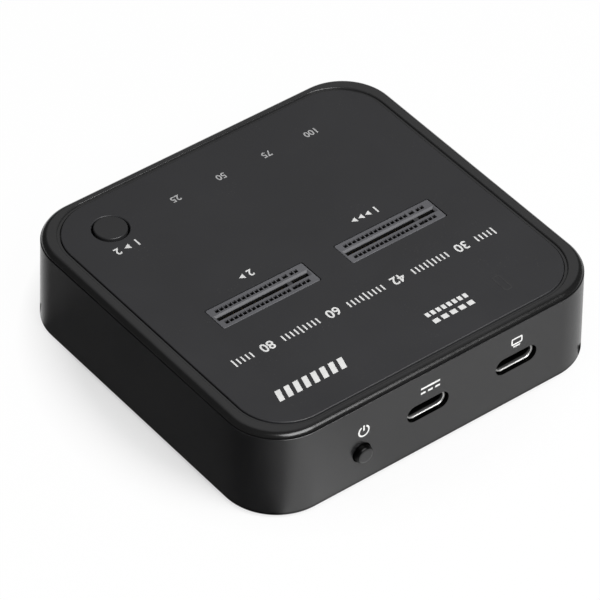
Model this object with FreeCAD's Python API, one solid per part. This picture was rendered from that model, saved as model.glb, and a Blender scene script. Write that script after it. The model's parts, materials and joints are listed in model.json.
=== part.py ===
import FreeCAD, Part
import math
import os

# A desktop docking station that takes two solid-state drives standing up in
# the slots of its top face, and copies one to the other.
# Millimetres. +Z is up, +X is to the right of someone who reads the top face,
# and the ports are in the rear wall, at +Y. The shapes are drawn about the
# middle of the case, and moved at the end so that the origin is the middle of
# the whole footprint, on the surface that the feet stand on.

# Case
case_width = 80.0             # X, at the base
case_depth = 75.9             # Y, at the base
case_height = 19.3            # underside of the case to its rim
case_corner = 11.6            # corner radius in plan, at the base
wall_lean = 1.0               # how far a wall leans in, from base to rim
wall_thickness = 1.8          # at the rim; the inside is upright
base_edge_round = 0.4
foot_proud = 0.6              # how far the feet hold the case off the table

# Top cover
skirt_height = 1.1            # the part of the cover that is seen from the side
rim_edge_round = 0.8
parting_bevel = 0.12
cover_plate = 1.4             # below the panel recess
cover_fit = 0.1               # cover's locating lip to the wall
lip_thickness = 1.0
lip_depth = 1.6               # below the cover plate
panel_recess = 1.0

# Panel let into the top cover
rim_width = 2.0               # rim top, from its edge to the groove
groove_width = 0.65
panel_drop = 0.06             # panel face below the rim
panel_edge_round = 0.15

# Bottom cover
floor_thickness = 1.8
floor_ledge = 1.0             # width of the rebate that the floor lies in
floor_fit = 0.1
label_width = 36.0
label_depth = 24.0
label_recess = 0.2
label_corner = 2.0

# Feet
foot_radius = 4.0
foot_seat = 0.5               # depth of the foot's recess in the floor
foot_fit = 0.1
foot_edge_round = 0.25
foot_inset_x = 11.5           # middle of a foot from the side of the case
foot_inset_y = 10.95

# Case screws, from below through floor post and board into the top cover
screw_inset_x = 7.8           # from the side of the case
screw_inset_y = 18.95
screw_radius = 1.2
screw_head_radius = 2.1
screw_head_height = 1.3
screw_head_sink = 0.3         # head below the floor's face
screw_grip = 5.5              # length in the cover's post
screw_fit = 0.02              # shank to the pilot hole
hole_clearance = 0.15         # shank to a passing hole
post_wall = 1.4
drive_width = 0.55            # arms of the cross recess
drive_depth = 0.7
drive_reach = 1.1             # length of a slot of the cross, in head radii

# Main board
board_thickness = 1.6
board_gap = 0.6               # board edge to the wall
board_corner = 7.0
board_screw_x = 0.0
board_screw_y = 13.5
board_screw_radius = 1.0
board_screw_head_radius = 1.9
board_screw_head_height = 1.2
board_screw_grip = 3.0

# Drive slots, both alike
slot_spacing = 29.6           # middle of one slot to the middle of the other
slot_inset = 33.2             # middle of a slot from the rear of the case
slot_length = 22.1
slot_depth = 5.85
slot_window_gap = 0.35        # socket to the opening in the cover
slot_sink = 0.3               # socket top below the panel
card_slot_length = 20.6
card_slot_width = 0.9
card_reach = 5.5              # how deep a drive's edge goes in
card_lead_in = 0.3
key_offset = -6.125           # key rib from the middle of the slot
key_rib = 1.0
key_gap = 2.0                 # stretch with no contacts, centred on the key
contact_pitch = 0.5
contacts_per_row = 38
contact_width = 0.2
contact_thickness = 0.15
pocket_width = 0.3
pocket_reach = 2.05           # outer wall of a contact pocket from the middle
pocket_window = 0.65          # opening of a pocket in the top face
pocket_bar = 1.0              # depth of the bar between pocket and card slot
foot_channel = 0.25           # room for the contact tails under the socket
tail_reach = 3.75             # end of a contact tail from the middle
slot_peg_radius = 0.6
slot_peg_x = 10.2
hold_down_thickness = 0.3
hold_down_width = 3.0
hold_down_height = 3.0
hold_down_foot = 1.3
contact_curve_drop = 1.0      # below the top of a contact's bow: where the bow starts,
contact_shoulder_drop = 0.3   # its shoulder over the card slot,
contact_touch_drop = 1.4      # the bend that presses on the card,
contact_tip_drop = 2.2        # and the free tip

# Ports in the rear wall, both alike
port_axis_height = 9.67       # above the underside of the case
data_port_inset = 22.15       # from the left side of the case
power_inlet_x = 2.8
port_shell_width = 8.94
port_shell_height = 3.26
port_shell_wall = 0.3
port_shell_length = 7.35
port_shell_seat = 0.02        # shell above the board
port_sink = 1.07              # shell mouth behind the wall's face
port_hole_width = 9.6
port_hole_height = 3.62
tongue_width = 6.69
tongue_thickness = 0.7
tongue_set_back = 0.6         # tongue tip behind the shell mouth
insulator_length = 2.6
port_contacts = 12            # on each face of the tongue
port_contact_width = 0.25
port_contact_set_back = 0.3   # contact tip behind the tongue tip, and drop behind the shell
port_contact_depth = 0.12
port_contact_proud = 0.02
port_tail_length = 0.9
shell_leg_width = 1.0
shell_leg_set_in = 1.3        # leg from the end of the shell
shell_leg_hole_gap = 0.1

# Copy button and the push switch under it
copy_inset_x = 13.9           # from the right side and the front of the case
copy_inset_y = 11.35
copy_button_radius = 3.3
copy_button_gap = 0.22        # button to its bore
copy_button_proud = 0.3
copy_button_round = 0.2
copy_button_travel = 0.25
copy_button_flange = 0.8      # flange beyond the button, and its thickness
copy_button_play = 0.1        # flange under the cover
copy_stem_radius = 1.5
switch_size = 6.0
switch_base_height = 3.2
switch_cover_thickness = 0.25
switch_plunger_radius = 1.7
switch_plunger_gap = 0.1
switch_plunger_top = 5.0      # above the board
switch_plunger_flange = 0.5
switch_well_radius = 2.5
switch_well_depth = 1.6
dome_thickness = 0.1
dome_stop = 0.05              # height left of the dome when it is pressed
switch_nub_radius = 0.8       # nub of the plunger over the dome
switch_nub_gap = 0.05
switch_leg = 0.7

# Power button and the push switch behind it
power_inset = 22.0            # from the right side of the case
power_button_height = 7.7     # above the underside of the case
power_button_radius = 2.1
power_button_gap = 0.28
power_button_proud = 1.8
power_button_round = 0.25
power_button_travel = 1.2
power_flange = 0.9            # flange beyond the button, and its thickness
power_flange_play = 0.1
power_socket_depth = 1.2      # cap's grip on the switch's slider
power_tail = 1.3              # cap behind its flange
slider_size = 2.2
slider_fit = 0.03
slider_plate = 3.4
slider_plate_thickness = 0.8
power_switch_width = 6.4
power_switch_length = 7.2
power_switch_height = 4.6
power_switch_wall = 0.5
power_switch_room = 0.3       # switch front behind the pressed cap
power_switch_ear = 1.2
power_switch_ear_height = 0.7
power_switch_gap = 0.25       # switch to the notch in the board
spring_radius = 1.1
spring_wire = 0.3
spring_turns = 5
switch_pin = 0.6
switch_pin_pitch = 2.5

# Lamps under the top face
lamp_spacing = 10.65
lamp_middle_x = -4.45
lamp_inset = 11.85            # from the front of the case
lamp_names = ("100", "75", "50", "25")
lamp_length = 2.0
lamp_width = 1.25
lamp_height = 0.8
lamp_lens = 0.5
guide_radius = 1.0
guide_fit = 0.08
guide_gap = 0.4               # guide above its lamp
guide_bar_thickness = 1.0
guide_bar_width = 3.4
guide_flange = 1.9            # collar radius of the single guide
panel_skin = 0.35             # left above a guide, so that its light shows
status_lamp_aside = 4.35      # from the middle of the data port
status_lamp_inset = 10.15     # from the rear of the case

# Parts on the board
bridge_size = 9.0
bridge_height = 0.9
bridge_port_gap = 2.13        # bridge chip to the contact tails of a port
bridge_gap = 1.325            # between the two bridge chips
controller_size = 12.0
controller_height = 1.4
controller_x = -14.0          # on the underside of the board
controller_y = -14.0
memory_length = 5.2
memory_width = 4.0
memory_height = 1.6
memory_x = 9.0
memory_y = -14.0
lead_count = 4
lead_pitch = 1.27
lead_width = 0.4
lead_reach = 0.9
lead_thickness = 0.2
regulator_size = 3.0
regulator_height = 0.9
inductor_size = 4.2
inductor_height = 2.0
inductor_round = 0.6
can_radius = 2.5
can_height = 5.4
can_base = 5.3
can_base_height = 0.8
can_skirt_groove = 0.25
crystal_length = 3.2
crystal_width = 2.5
crystal_height = 0.7
crystal_corner = 0.3
chip_length = 1.6             # capacitors and resistors
chip_width = 0.8
capacitor_height = 0.8
resistor_height = 0.45
chip_spacing = 1.6
power_parts_y = -8.5          # regulators of a slot, from the middle of the slot
inlet_parts_gap = 1.5         # inductor of the power inlet to the contact tails
slot_capacitors = 10
controller_capacitors = 3     # along each of two sides of the controller
controller_resistors = 5

# Heights, faces and places that follow from the sizes above
base_z = foot_proud
rim_z = base_z + case_height
parting_z = rim_z - skirt_height
recess_z = rim_z - panel_recess
plate_z = recess_z - cover_plate
panel_z = rim_z - panel_drop
floor_z = base_z + floor_thickness
port_z = base_z + port_axis_height
board_top = port_z - port_shell_height / 2 - port_shell_seat
board_low = board_top - board_thickness
power_z = base_z + power_button_height
inner_width = case_width - 2 * (wall_lean + wall_thickness)
inner_depth = case_depth - 2 * (wall_lean + wall_thickness)
inner_corner = case_corner - wall_lean - wall_thickness
inner_wall_y = inner_depth / 2
foot_x = case_width / 2 - foot_inset_x
foot_y = case_depth / 2 - foot_inset_y
screw_x = case_width / 2 - screw_inset_x
screw_y = case_depth / 2 - screw_inset_y
slot_y = case_depth / 2 - slot_inset
data_port_x = data_port_inset - case_width / 2
copy_button_x = case_width / 2 - copy_inset_x
copy_button_y = copy_inset_y - case_depth / 2
power_button_x = case_width / 2 - power_inset
lamp_y = lamp_inset - case_depth / 2
status_lamp_x = data_port_x - status_lamp_aside
status_lamp_y = case_depth / 2 - status_lamp_inset
port_tail_y = (
    case_depth / 2 - wall_lean * port_axis_height / case_height
    - port_sink - port_shell_length - port_tail_length
)
bridge_y = port_tail_y - bridge_port_gap - bridge_size / 2
bridge_x = (data_port_x, data_port_x + bridge_size + bridge_gap)
inlet_parts_y = port_tail_y - inlet_parts_gap - inductor_size / 2
post_radius = screw_radius + post_wall
post_places = [(x, y) for x in (-screw_x, screw_x) for y in (-screw_y, screw_y)]
foot_places = {
    "front_left": (-foot_x, -foot_y),
    "front_right": (foot_x, -foot_y),
    "rear_left": (-foot_x, foot_y),
    "rear_right": (foot_x, foot_y),
}
slot_top = panel_z - slot_sink
slot_places = {"source": -slot_spacing / 2, "target": slot_spacing / 2}
port_places = {"data_port": data_port_x, "power_inlet": power_inlet_x}
lamp_places = [
    lamp_middle_x + (i - (len(lamp_names) - 1) / 2) * lamp_spacing
    for i in range(len(lamp_names))
]
copy_bore = copy_button_radius + copy_button_gap
dome_rise = copy_button_travel + dome_stop
power_bore = power_button_radius + power_button_gap
overcut = 1.0                 # how far a cutting shape runs past what it cuts
end_flat = 0.01               # what a fully rounded end keeps straight, each side
same_place = 1e-4             # two heights nearer than this are the same


def lean_at(z):
    return wall_lean * (z - base_z) / case_height


def wall_y_at(z):
    return case_depth / 2 - lean_at(z)


# Basic shapes
def rounded_wire(width, depth, radius, z):
    x = width / 2 - radius
    y = depth / 2 - radius
    corners = [(x, y), (-x, y), (-x, -y), (x, -y)]
    edges = []
    last = None
    for i, (cx, cy) in enumerate(corners):
        circle = Part.Circle(FreeCAD.Vector(cx, cy, z), FreeCAD.Vector(0, 0, 1), radius)
        arc = Part.Arc(circle, math.radians(90 * i), math.radians(90 * (i + 1)))
        if last is not None:
            edges.append(Part.LineSegment(last, arc.StartPoint).toShape())
        edges.append(arc.toShape())
        last = arc.EndPoint
    edges.append(Part.LineSegment(last, edges[0].firstVertex().Point).toShape())
    return Part.Wire(edges)


def rounded_prism(width, depth, radius, low, high, x=0.0, y=0.0):
    face = Part.Face(rounded_wire(width, depth, radius, low))
    solid = face.extrude(FreeCAD.Vector(0, 0, high - low))
    solid.translate(FreeCAD.Vector(x, y, 0))
    return solid


def rounded_bar_y(width, height, radius, x, z, low, high):
    bar = rounded_prism(width, height, radius, -high, -low)
    bar.rotate(FreeCAD.Vector(0, 0, 0), FreeCAD.Vector(1, 0, 0), 90)
    bar.translate(FreeCAD.Vector(x, 0, z))
    return bar


def box(x_low, x_high, y_low, y_high, z_low, z_high):
    corner = FreeCAD.Vector(x_low, y_low, z_low)
    return Part.makeBox(x_high - x_low, y_high - y_low, z_high - z_low, corner)


def block(x, y, length, width, low, high):
    return box(x - length / 2, x + length / 2, y - width / 2, y + width / 2, low, high)


def upright(radius, x, y, low, high):
    return Part.makeCylinder(radius, high - low, FreeCAD.Vector(x, y, low))


def rod_y(radius, x, z, low, high):
    start = FreeCAD.Vector(x, low, z)
    return Part.makeCylinder(radius, high - low, start, FreeCAD.Vector(0, 1, 0))


def edges_at_z(shape, z):
    return [
        e for e in shape.Edges
        if abs(e.BoundBox.ZMin - z) < same_place and abs(e.BoundBox.ZMax - z) < same_place
    ]


def tapered_slab(low, high):
    wires = []
    for z in (low, high):
        lean = lean_at(z)
        width = case_width - 2 * lean
        depth = case_depth - 2 * lean
        wires.append(rounded_wire(width, depth, case_corner - lean, z))
    return Part.makeLoft(wires, True, True)


def strip(points, thickness, width):
    # A bent strip: points are (y, z) along its middle, and it is width wide in X
    left = []
    right = []
    for i, (y, z) in enumerate(points):
        before = points[max(i - 1, 0)]
        after = points[min(i + 1, len(points) - 1)]
        normals = []
        for a, b in ((before, (y, z)), ((y, z), after)):
            run = math.hypot(b[0] - a[0], b[1] - a[1])
            if run > 0:
                normals.append(((a[1] - b[1]) / run, (b[0] - a[0]) / run))
        ny = sum(n[0] for n in normals) / len(normals)
        nz = sum(n[1] for n in normals) / len(normals)
        reach = thickness / 2 / (ny * ny + nz * nz)
        left.append((y + ny * reach, z + nz * reach))
        right.append((y - ny * reach, z - nz * reach))
    loop = left + right[::-1]
    corners = [FreeCAD.Vector(-width / 2, y, z) for y, z in loop + loop[:1]]
    face = Part.Face(Part.makePolygon(corners))
    return face.extrude(FreeCAD.Vector(width, 0, 0))


def under_board(shape):
    # Turns a part that stands on the board into one that hangs below it
    middle = FreeCAD.Vector(0, 0, (board_low + board_top) / 2)
    return shape.mirror(middle, FreeCAD.Vector(0, 0, 1))


def moved(shape, x=0.0, y=0.0, z=0.0):
    copy = shape.copy()
    copy.translate(FreeCAD.Vector(x, y, z))
    return copy


def group(shapes):
    return Part.makeCompound(shapes)


# Case
def port_openings():
    cuts = []
    for x in port_places.values():
        radius = port_hole_height / 2 - end_flat
        low = inner_wall_y - overcut
        high = case_depth / 2 + overcut
        cuts.append(rounded_bar_y(port_hole_width, port_hole_height, radius, x, port_z, low, high))
    cuts.append(rod_y(power_bore, power_button_x, power_z, inner_wall_y - overcut,
                      case_depth / 2 + overcut))
    return cuts


def make_side_housing():
    body = tapered_slab(base_z, parting_z)
    body = body.makeFillet(base_edge_round, edges_at_z(body, base_z))
    body = body.makeChamfer(parting_bevel, edges_at_z(body, parting_z))
    cavity = rounded_prism(inner_width, inner_depth, inner_corner, base_z - overcut, parting_z + overcut)
    rebate = rounded_prism(inner_width + 2 * floor_ledge, inner_depth + 2 * floor_ledge,
                           inner_corner + floor_ledge, base_z - overcut, floor_z)
    return body.cut([cavity, rebate] + port_openings())


def slot_windows(low, high):
    length = slot_length + 2 * slot_window_gap
    width = slot_depth + 2 * slot_window_gap
    return [
        rounded_prism(length, width, slot_window_gap, low, high, x, slot_y)
        for x in slot_places.values()
    ]


def guide_places():
    return [(x, lamp_y) for x in lamp_places] + [(status_lamp_x, status_lamp_y)]


def make_top_cover():
    skirt = tapered_slab(parting_z, rim_z)
    skirt = skirt.makeFillet(rim_edge_round, edges_at_z(skirt, rim_z))
    skirt = skirt.makeChamfer(parting_bevel, edges_at_z(skirt, parting_z))
    plug_width = inner_width - 2 * cover_fit
    plug_depth = inner_depth - 2 * cover_fit
    plug_corner = inner_corner - cover_fit
    lip_z = plate_z - lip_depth
    plug = rounded_prism(plug_width, plug_depth, plug_corner, lip_z, parting_z)
    hollow = rounded_prism(plug_width - 2 * lip_thickness, plug_depth - 2 * lip_thickness,
                           plug_corner - lip_thickness, lip_z - overcut, plate_z)
    cover = skirt.fuse(plug.cut(hollow))
    posts = [upright(post_radius, x, y, board_top, plate_z) for x, y in post_places]
    cover = cover.fuse(posts)
    recess_margin = 2 * (lean_at(rim_z) + rim_width)
    recess_corner = case_corner - lean_at(rim_z) - rim_width
    recess = rounded_prism(case_width - recess_margin, case_depth - recess_margin,
                           recess_corner, recess_z, rim_z + overcut)
    cuts = [recess, upright(copy_bore, copy_button_x, copy_button_y, plate_z - overcut, rim_z)]
    cuts += slot_windows(plate_z - overcut, rim_z)
    cuts += [upright(guide_radius + guide_fit, x, y, plate_z - overcut, rim_z) for x, y in guide_places()]
    pilot = screw_radius + screw_fit
    cuts += [
        upright(pilot, x, y, board_top - overcut, board_top + screw_grip + overcut)
        for x, y in post_places
    ]
    return cover.cut(cuts).removeSplitter()


def make_top_panel():
    margin = 2 * (lean_at(rim_z) + rim_width + groove_width)
    corner = case_corner - lean_at(rim_z) - rim_width - groove_width
    panel = rounded_prism(case_width - margin, case_depth - margin, corner, recess_z, panel_z)
    panel = panel.makeFillet(panel_edge_round, edges_at_z(panel, panel_z))
    cuts = slot_windows(recess_z - overcut, rim_z + overcut)
    cuts.append(upright(copy_bore, copy_button_x, copy_button_y, recess_z - overcut, rim_z + overcut))
    cuts += [
        upright(guide_radius + guide_fit, x, y, recess_z - overcut, panel_z - panel_skin)
        for x, y in guide_places()
    ]
    return panel.cut(cuts)


def make_bottom_cover():
    reach = 2 * (floor_ledge - floor_fit)
    corner = inner_corner + floor_ledge - floor_fit
    plate = rounded_prism(inner_width + reach, inner_depth + reach, corner, base_z, floor_z)
    posts = [upright(post_radius, x, y, floor_z, board_low) for x, y in post_places]
    board_post = board_screw_radius + post_wall
    posts += [
        upright(board_post, board_screw_x, y, floor_z, board_low)
        for y in (-board_screw_y, board_screw_y)
    ]
    cover = plate.fuse(posts)
    head_z = base_z + screw_head_sink + screw_head_height
    cuts = []
    for x, y in post_places:
        cuts.append(upright(screw_radius + hole_clearance, x, y, base_z - overcut, board_low + overcut))
        cuts.append(upright(screw_head_radius + hole_clearance, x, y, base_z - overcut, head_z))
    for y in (-board_screw_y, board_screw_y):
        deep = board_low - board_screw_grip - screw_fit
        cuts.append(upright(board_screw_radius + screw_fit, board_screw_x, y, deep, board_low + overcut))
    for x, y in foot_places.values():
        cuts.append(upright(foot_radius + foot_fit, x, y, base_z - overcut, base_z + foot_seat))
    cuts.append(rounded_prism(label_width, label_depth, label_corner, base_z - overcut,
                              base_z + label_recess))
    return cover.cut(cuts).removeSplitter()


def make_foot(x, y):
    pad = upright(foot_radius, x, y, 0.0, base_z + foot_seat)
    return pad.makeFillet(foot_edge_round, edges_at_z(pad, 0.0))


def cross_recess(x, y, z, reach, up):
    # A cross of two slots that opens at height z, cut upwards or downwards
    low = z - overcut if up else z - drive_depth
    high = z + drive_depth if up else z + overcut
    length = reach * drive_reach
    return [block(x, y, length, drive_width, low, high), block(x, y, drive_width, length, low, high)]


def make_case_screws():
    screws = []
    head_low = base_z + screw_head_sink
    head_high = head_low + screw_head_height
    tip = board_top + screw_grip
    for x, y in post_places:
        head = upright(screw_head_radius, x, y, head_low, head_high)
        shank = upright(screw_radius, x, y, head_high, tip)
        shank = shank.makeChamfer(screw_radius / 2, edges_at_z(shank, tip))
        screws.append(head.fuse(shank).cut(cross_recess(x, y, head_low, screw_head_radius, True)))
    return group(screws)


def make_board_screws():
    screws = []
    for y in (-board_screw_y, board_screw_y):
        head_high = board_top + board_screw_head_height
        head = upright(board_screw_head_radius, board_screw_x, y, board_top, head_high)
        shank = upright(board_screw_radius, board_screw_x, y, board_low - board_screw_grip, board_top)
        cross = cross_recess(board_screw_x, y, head_high, board_screw_head_radius, False)
        screws.append(head.fuse(shank).cut(cross))
    return group(screws)


# Main board
def shell_leg_places(x):
    side = port_shell_width / 2 - port_shell_wall / 2
    front = port_mouth_y() - shell_leg_set_in
    back = port_mouth_y() - port_shell_length + shell_leg_set_in
    inboard = min(front, inner_wall_y - board_gap - shell_leg_width)
    return [(x + s * side, y) for s in (-1, 1) for y in (inboard, back)]


def make_main_board():
    width = inner_width - 2 * board_gap
    depth = inner_depth - 2 * board_gap
    board = rounded_prism(width, depth, board_corner, board_low, board_top)
    low = board_low - overcut
    high = board_top + overcut
    cuts = [upright(screw_radius + hole_clearance, x, y, low, high) for x, y in post_places]
    cuts += [
        upright(board_screw_radius + hole_clearance, board_screw_x, y, low, high)
        for y in (-board_screw_y, board_screw_y)
    ]
    for x in slot_places.values():
        cuts += [
            upright(slot_peg_radius + screw_fit, x + s * slot_peg_x, slot_y, low, high) for s in (-1, 1)
        ]
    for x in port_places.values():
        for leg_x, leg_y in shell_leg_places(x):
            cuts.append(block(leg_x, leg_y, port_shell_wall + 2 * shell_leg_hole_gap,
                              shell_leg_width + 2 * shell_leg_hole_gap, low, high))
    notch_back, notch_half = power_notch()
    cuts.append(box(power_button_x - notch_half, power_button_x + notch_half, notch_back,
                    inner_wall_y + overcut, low, high))
    return board.cut(cuts)


# Drive sockets, drawn about the middle of a slot with the board at board_top
def contact_rows():
    rows = []
    for side, first, count in ((1, 0.0, contacts_per_row), (-1, 0.5, contacts_per_row - 1)):
        for i in range(count):
            x = (first + i - (contacts_per_row - 1) / 2) * contact_pitch
            if abs(x - key_offset) > key_gap / 2:
                rows.append((side, x))
    return rows


def make_slot_socket():
    low = board_top
    socket = rounded_prism(slot_length, slot_depth, slot_window_gap, low, slot_top)
    tails = (contacts_per_row + 1) * contact_pitch
    socket = socket.cut(block(0, 0, tails, slot_depth + overcut, low - overcut, low + foot_channel))
    pegs = [
        upright(slot_peg_radius, s * slot_peg_x, 0, board_low + slot_window_gap, low) for s in (-1, 1)
    ]
    socket = socket.fuse(pegs)
    card_low = slot_top - card_reach
    card = block(0, 0, card_slot_length, card_slot_width, card_low, slot_top + overcut)
    rib = block(key_offset, 0, key_rib, card_slot_width, card_low, slot_top)
    lead = Part.makeLoft([
        rounded_wire(card_slot_length, card_slot_width, card_slot_width / 4, slot_top - card_lead_in),
        rounded_wire(card_slot_length + 2 * card_lead_in, card_slot_width + 2 * card_lead_in,
                     card_slot_width / 4, slot_top),
    ], True, True)
    cuts = [card.cut(rib), lead]
    inner = pocket_reach - pocket_window
    for side, x in contact_rows():
        window = sorted((side * inner, side * pocket_reach))
        cuts.append(box(x - pocket_width / 2, x + pocket_width / 2, window[0], window[1],
                        low - overcut, slot_top + overcut))
        under = sorted((side * card_slot_width / 4, side * inner))
        cuts.append(box(x - pocket_width / 2, x + pocket_width / 2, under[0], under[1],
                        card_low, slot_top - pocket_bar))
    return socket.cut(cuts)


def make_slot_contacts():
    half = contact_thickness / 2
    riser = pocket_reach - pocket_window / 4
    bend = slot_top - pocket_bar - 2 * contact_thickness
    touch = card_slot_width / 2
    path = [
        (tail_reach, board_top + half),
        (riser, board_top + half),
        (riser, bend - contact_curve_drop),
        (riser - pocket_window / 2, bend),
        (touch + 2 * contact_thickness, bend - contact_shoulder_drop),
        (touch, bend - contact_touch_drop),
        (touch + 2 * contact_thickness, bend - contact_tip_drop),
    ]
    beam = strip(path, contact_thickness, contact_width)
    mirror = beam.mirror(FreeCAD.Vector(0, 0, 0), FreeCAD.Vector(0, 1, 0))
    return group([moved(beam if side > 0 else mirror, x) for side, x in contact_rows()])


def make_slot_hold_downs():
    tabs = []
    outer = slot_length / 2
    for s in (-1, 1):
        near, far = sorted((s * outer, s * (outer + hold_down_thickness)))
        plate = box(near, far, -hold_down_width / 2, hold_down_width / 2, board_top,
                    board_top + hold_down_height)
        near, far = sorted((s * outer, s * (outer + hold_down_foot)))
        foot = box(near, far, -hold_down_width / 2, hold_down_width / 2, board_top,
                   board_top + hold_down_thickness)
        tabs.append(plate.fuse(foot).removeSplitter())
    return group(tabs)


# Ports, drawn about x = 0
def port_mouth_y():
    return wall_y_at(port_z) - port_sink


def make_port_shell():
    # The floor of the shell is open at the back, where the contacts go down
    front = port_mouth_y()
    back = front - port_shell_length
    open_floor = block(0, back, tongue_width + 2 * port_contact_depth, insulator_length + contact_pitch,
                       board_top - overcut, port_z - port_shell_height / 4)
    radius = port_shell_height / 2 - end_flat
    shell = rounded_bar_y(port_shell_width, port_shell_height, radius, 0, port_z, back, front)
    inside = rounded_bar_y(port_shell_width - 2 * port_shell_wall, port_shell_height - 2 * port_shell_wall,
                           radius - port_shell_wall, 0, port_z, back - overcut, front + overcut)
    legs = []
    for x, y in shell_leg_places(0):
        legs.append(block(x, y, port_shell_wall, shell_leg_width, board_low, port_z))
    return shell.fuse(legs).cut([inside, open_floor]).removeSplitter()


def make_port_contact_list():
    # The upper row turns down behind the insulator, and the lower row inside it
    front = port_mouth_y() - tongue_set_back - port_contact_set_back
    back = port_mouth_y() - port_shell_length
    half = port_contact_depth / 2
    reach = tongue_thickness / 2 + port_contact_proud - half
    foot = board_top + half
    upper = [(front, port_z + reach), (back - port_contact_set_back, port_z + reach),
             (back - port_contact_set_back, foot), (back - port_tail_length, foot)]
    lower = [(front, port_z - reach), (back + insulator_length / 4, port_z - reach),
             (back + insulator_length / 4, board_top)]
    row = [strip(path, port_contact_depth, port_contact_width) for path in (upper, lower)]
    places = [(i - (port_contacts - 1) / 2) * contact_pitch for i in range(port_contacts)]
    return [moved(contact, x) for x in places for contact in row]


def make_port_insulator():
    mouth = port_mouth_y()
    back = mouth - port_shell_length
    width = port_shell_width - 2 * port_shell_wall
    height = port_shell_height - 2 * port_shell_wall
    base = rounded_bar_y(width, height, height / 2 - end_flat, 0, port_z, back, back + insulator_length)
    pad = box(-tongue_width / 2, tongue_width / 2, back, back + insulator_length / 2,
              board_top + port_shell_seat, port_z)
    tongue = box(-tongue_width / 2, tongue_width / 2, back, mouth - tongue_set_back,
                 port_z - tongue_thickness / 2, port_z + tongue_thickness / 2)
    return base.fuse([tongue, pad]).cut(make_port_contact_list()).removeSplitter()


def make_port_contacts():
    return group(make_port_contact_list())


# Copy button and its switch
def make_copy_button():
    x, y = copy_button_x, copy_button_y
    top = panel_z + copy_button_proud
    flange_top = plate_z - copy_button_play
    flange_low = flange_top - copy_button_flange
    cap = upright(copy_button_radius, x, y, flange_low, top)
    cap = cap.makeFillet(copy_button_round, edges_at_z(cap, top))
    flange = upright(copy_button_radius + copy_button_flange, x, y, flange_low, flange_top)
    stem = upright(copy_stem_radius, x, y, board_top + switch_plunger_top, flange_low)
    return cap.fuse([flange, stem]).removeSplitter()


def make_copy_switch_base():
    x, y = copy_button_x, copy_button_y
    high = board_top + switch_base_height
    base = block(x, y, switch_size, switch_size, board_top, high)
    well = upright(switch_well_radius, x, y, high - switch_well_depth, high + overcut)
    return base.cut([well] + make_copy_switch_legs())


def make_copy_switch_legs():
    legs = []
    reach = switch_size / 2 + switch_leg
    for sx in (-1, 1):
        for sy in (-1, 1):
            near, far = sorted((sx * (reach - 2 * switch_leg), sx * reach))
            middle = copy_button_y + sy * switch_size / 3
            legs.append(box(copy_button_x + near, copy_button_x + far, middle - switch_leg / 2,
                            middle + switch_leg / 2, board_top, board_top + port_contact_depth))
    return legs


def make_copy_switch_cover():
    x, y = copy_button_x, copy_button_y
    low = board_top + switch_base_height
    plate = block(x, y, switch_size, switch_size, low, low + switch_cover_thickness)
    return plate.cut(upright(switch_plunger_radius + switch_plunger_gap, x, y, low - overcut, low + overcut))


def make_copy_switch_plunger():
    x, y = copy_button_x, copy_button_y
    high = board_top + switch_base_height - switch_plunger_gap
    low = high - switch_plunger_flange
    nub_low = board_top + switch_base_height - switch_well_depth + dome_rise + switch_nub_gap
    shaft = upright(switch_plunger_radius, x, y, low, board_top + switch_plunger_top)
    flange = upright(switch_well_radius - switch_plunger_gap, x, y, low, high)
    nub = upright(switch_nub_radius, x, y, nub_low, low)
    return shaft.fuse([flange, nub]).removeSplitter()


def make_copy_switch_dome():
    # A shallow snap dome on the floor of the switch, just under the plunger
    reach = switch_well_radius - switch_plunger_gap
    radius = (reach * reach + dome_rise * dome_rise) / (2 * dome_rise)
    floor = board_top + switch_base_height - switch_well_depth
    middle = FreeCAD.Vector(copy_button_x, copy_button_y, floor + dome_rise - radius)
    outer = Part.makeSphere(radius, middle)
    inner = Part.makeSphere(radius - dome_thickness, middle)
    keep = upright(reach, copy_button_x, copy_button_y, floor, floor + 2 * dome_rise)
    return outer.cut(inner).common(keep)


# Power button and its switch
def power_flange_faces():
    front = inner_wall_y - power_flange_play
    return front - power_flange, front


def power_switch_faces():
    back, front = power_flange_faces()
    face = back - power_tail - power_button_travel - power_switch_room
    return face - power_switch_length, face


def power_notch():
    back, face = power_switch_faces()
    half = max(power_switch_width / 2, power_button_radius + power_flange) + power_switch_gap
    return back - power_switch_gap, half


def slider_tip_y():
    back, front = power_flange_faces()
    return back - power_tail + power_socket_depth


def make_power_button():
    x, z = power_button_x, power_z
    back, front = power_flange_faces()
    face = wall_y_at(power_z) + power_button_proud
    cap = rod_y(power_button_radius, x, z, back, face)
    rim = [e for e in cap.Edges if abs(e.BoundBox.YMin - face) < same_place]
    cap = cap.makeFillet(power_button_round, rim)
    flange = rod_y(power_button_radius + power_flange, x, z, back, front)
    tail = rod_y(power_button_radius, x, z, back - power_tail, back)
    half = slider_size / 2 + slider_fit
    socket = box(x - half, x + half, back - power_tail - overcut, slider_tip_y(), z - half, z + half)
    return cap.fuse([flange, tail]).removeSplitter().cut(socket)


def power_switch_ears():
    back, face = power_switch_faces()
    reach = power_notch()[1] + power_switch_ear
    high = board_top + power_switch_ear_height
    return box(power_button_x - reach, power_button_x + reach, back, face, board_top, high)


def spring_faces():
    back, face = power_switch_faces()
    plate_back = face - power_switch_wall - power_switch_gap - slider_plate_thickness
    return back + power_switch_wall, plate_back


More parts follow.
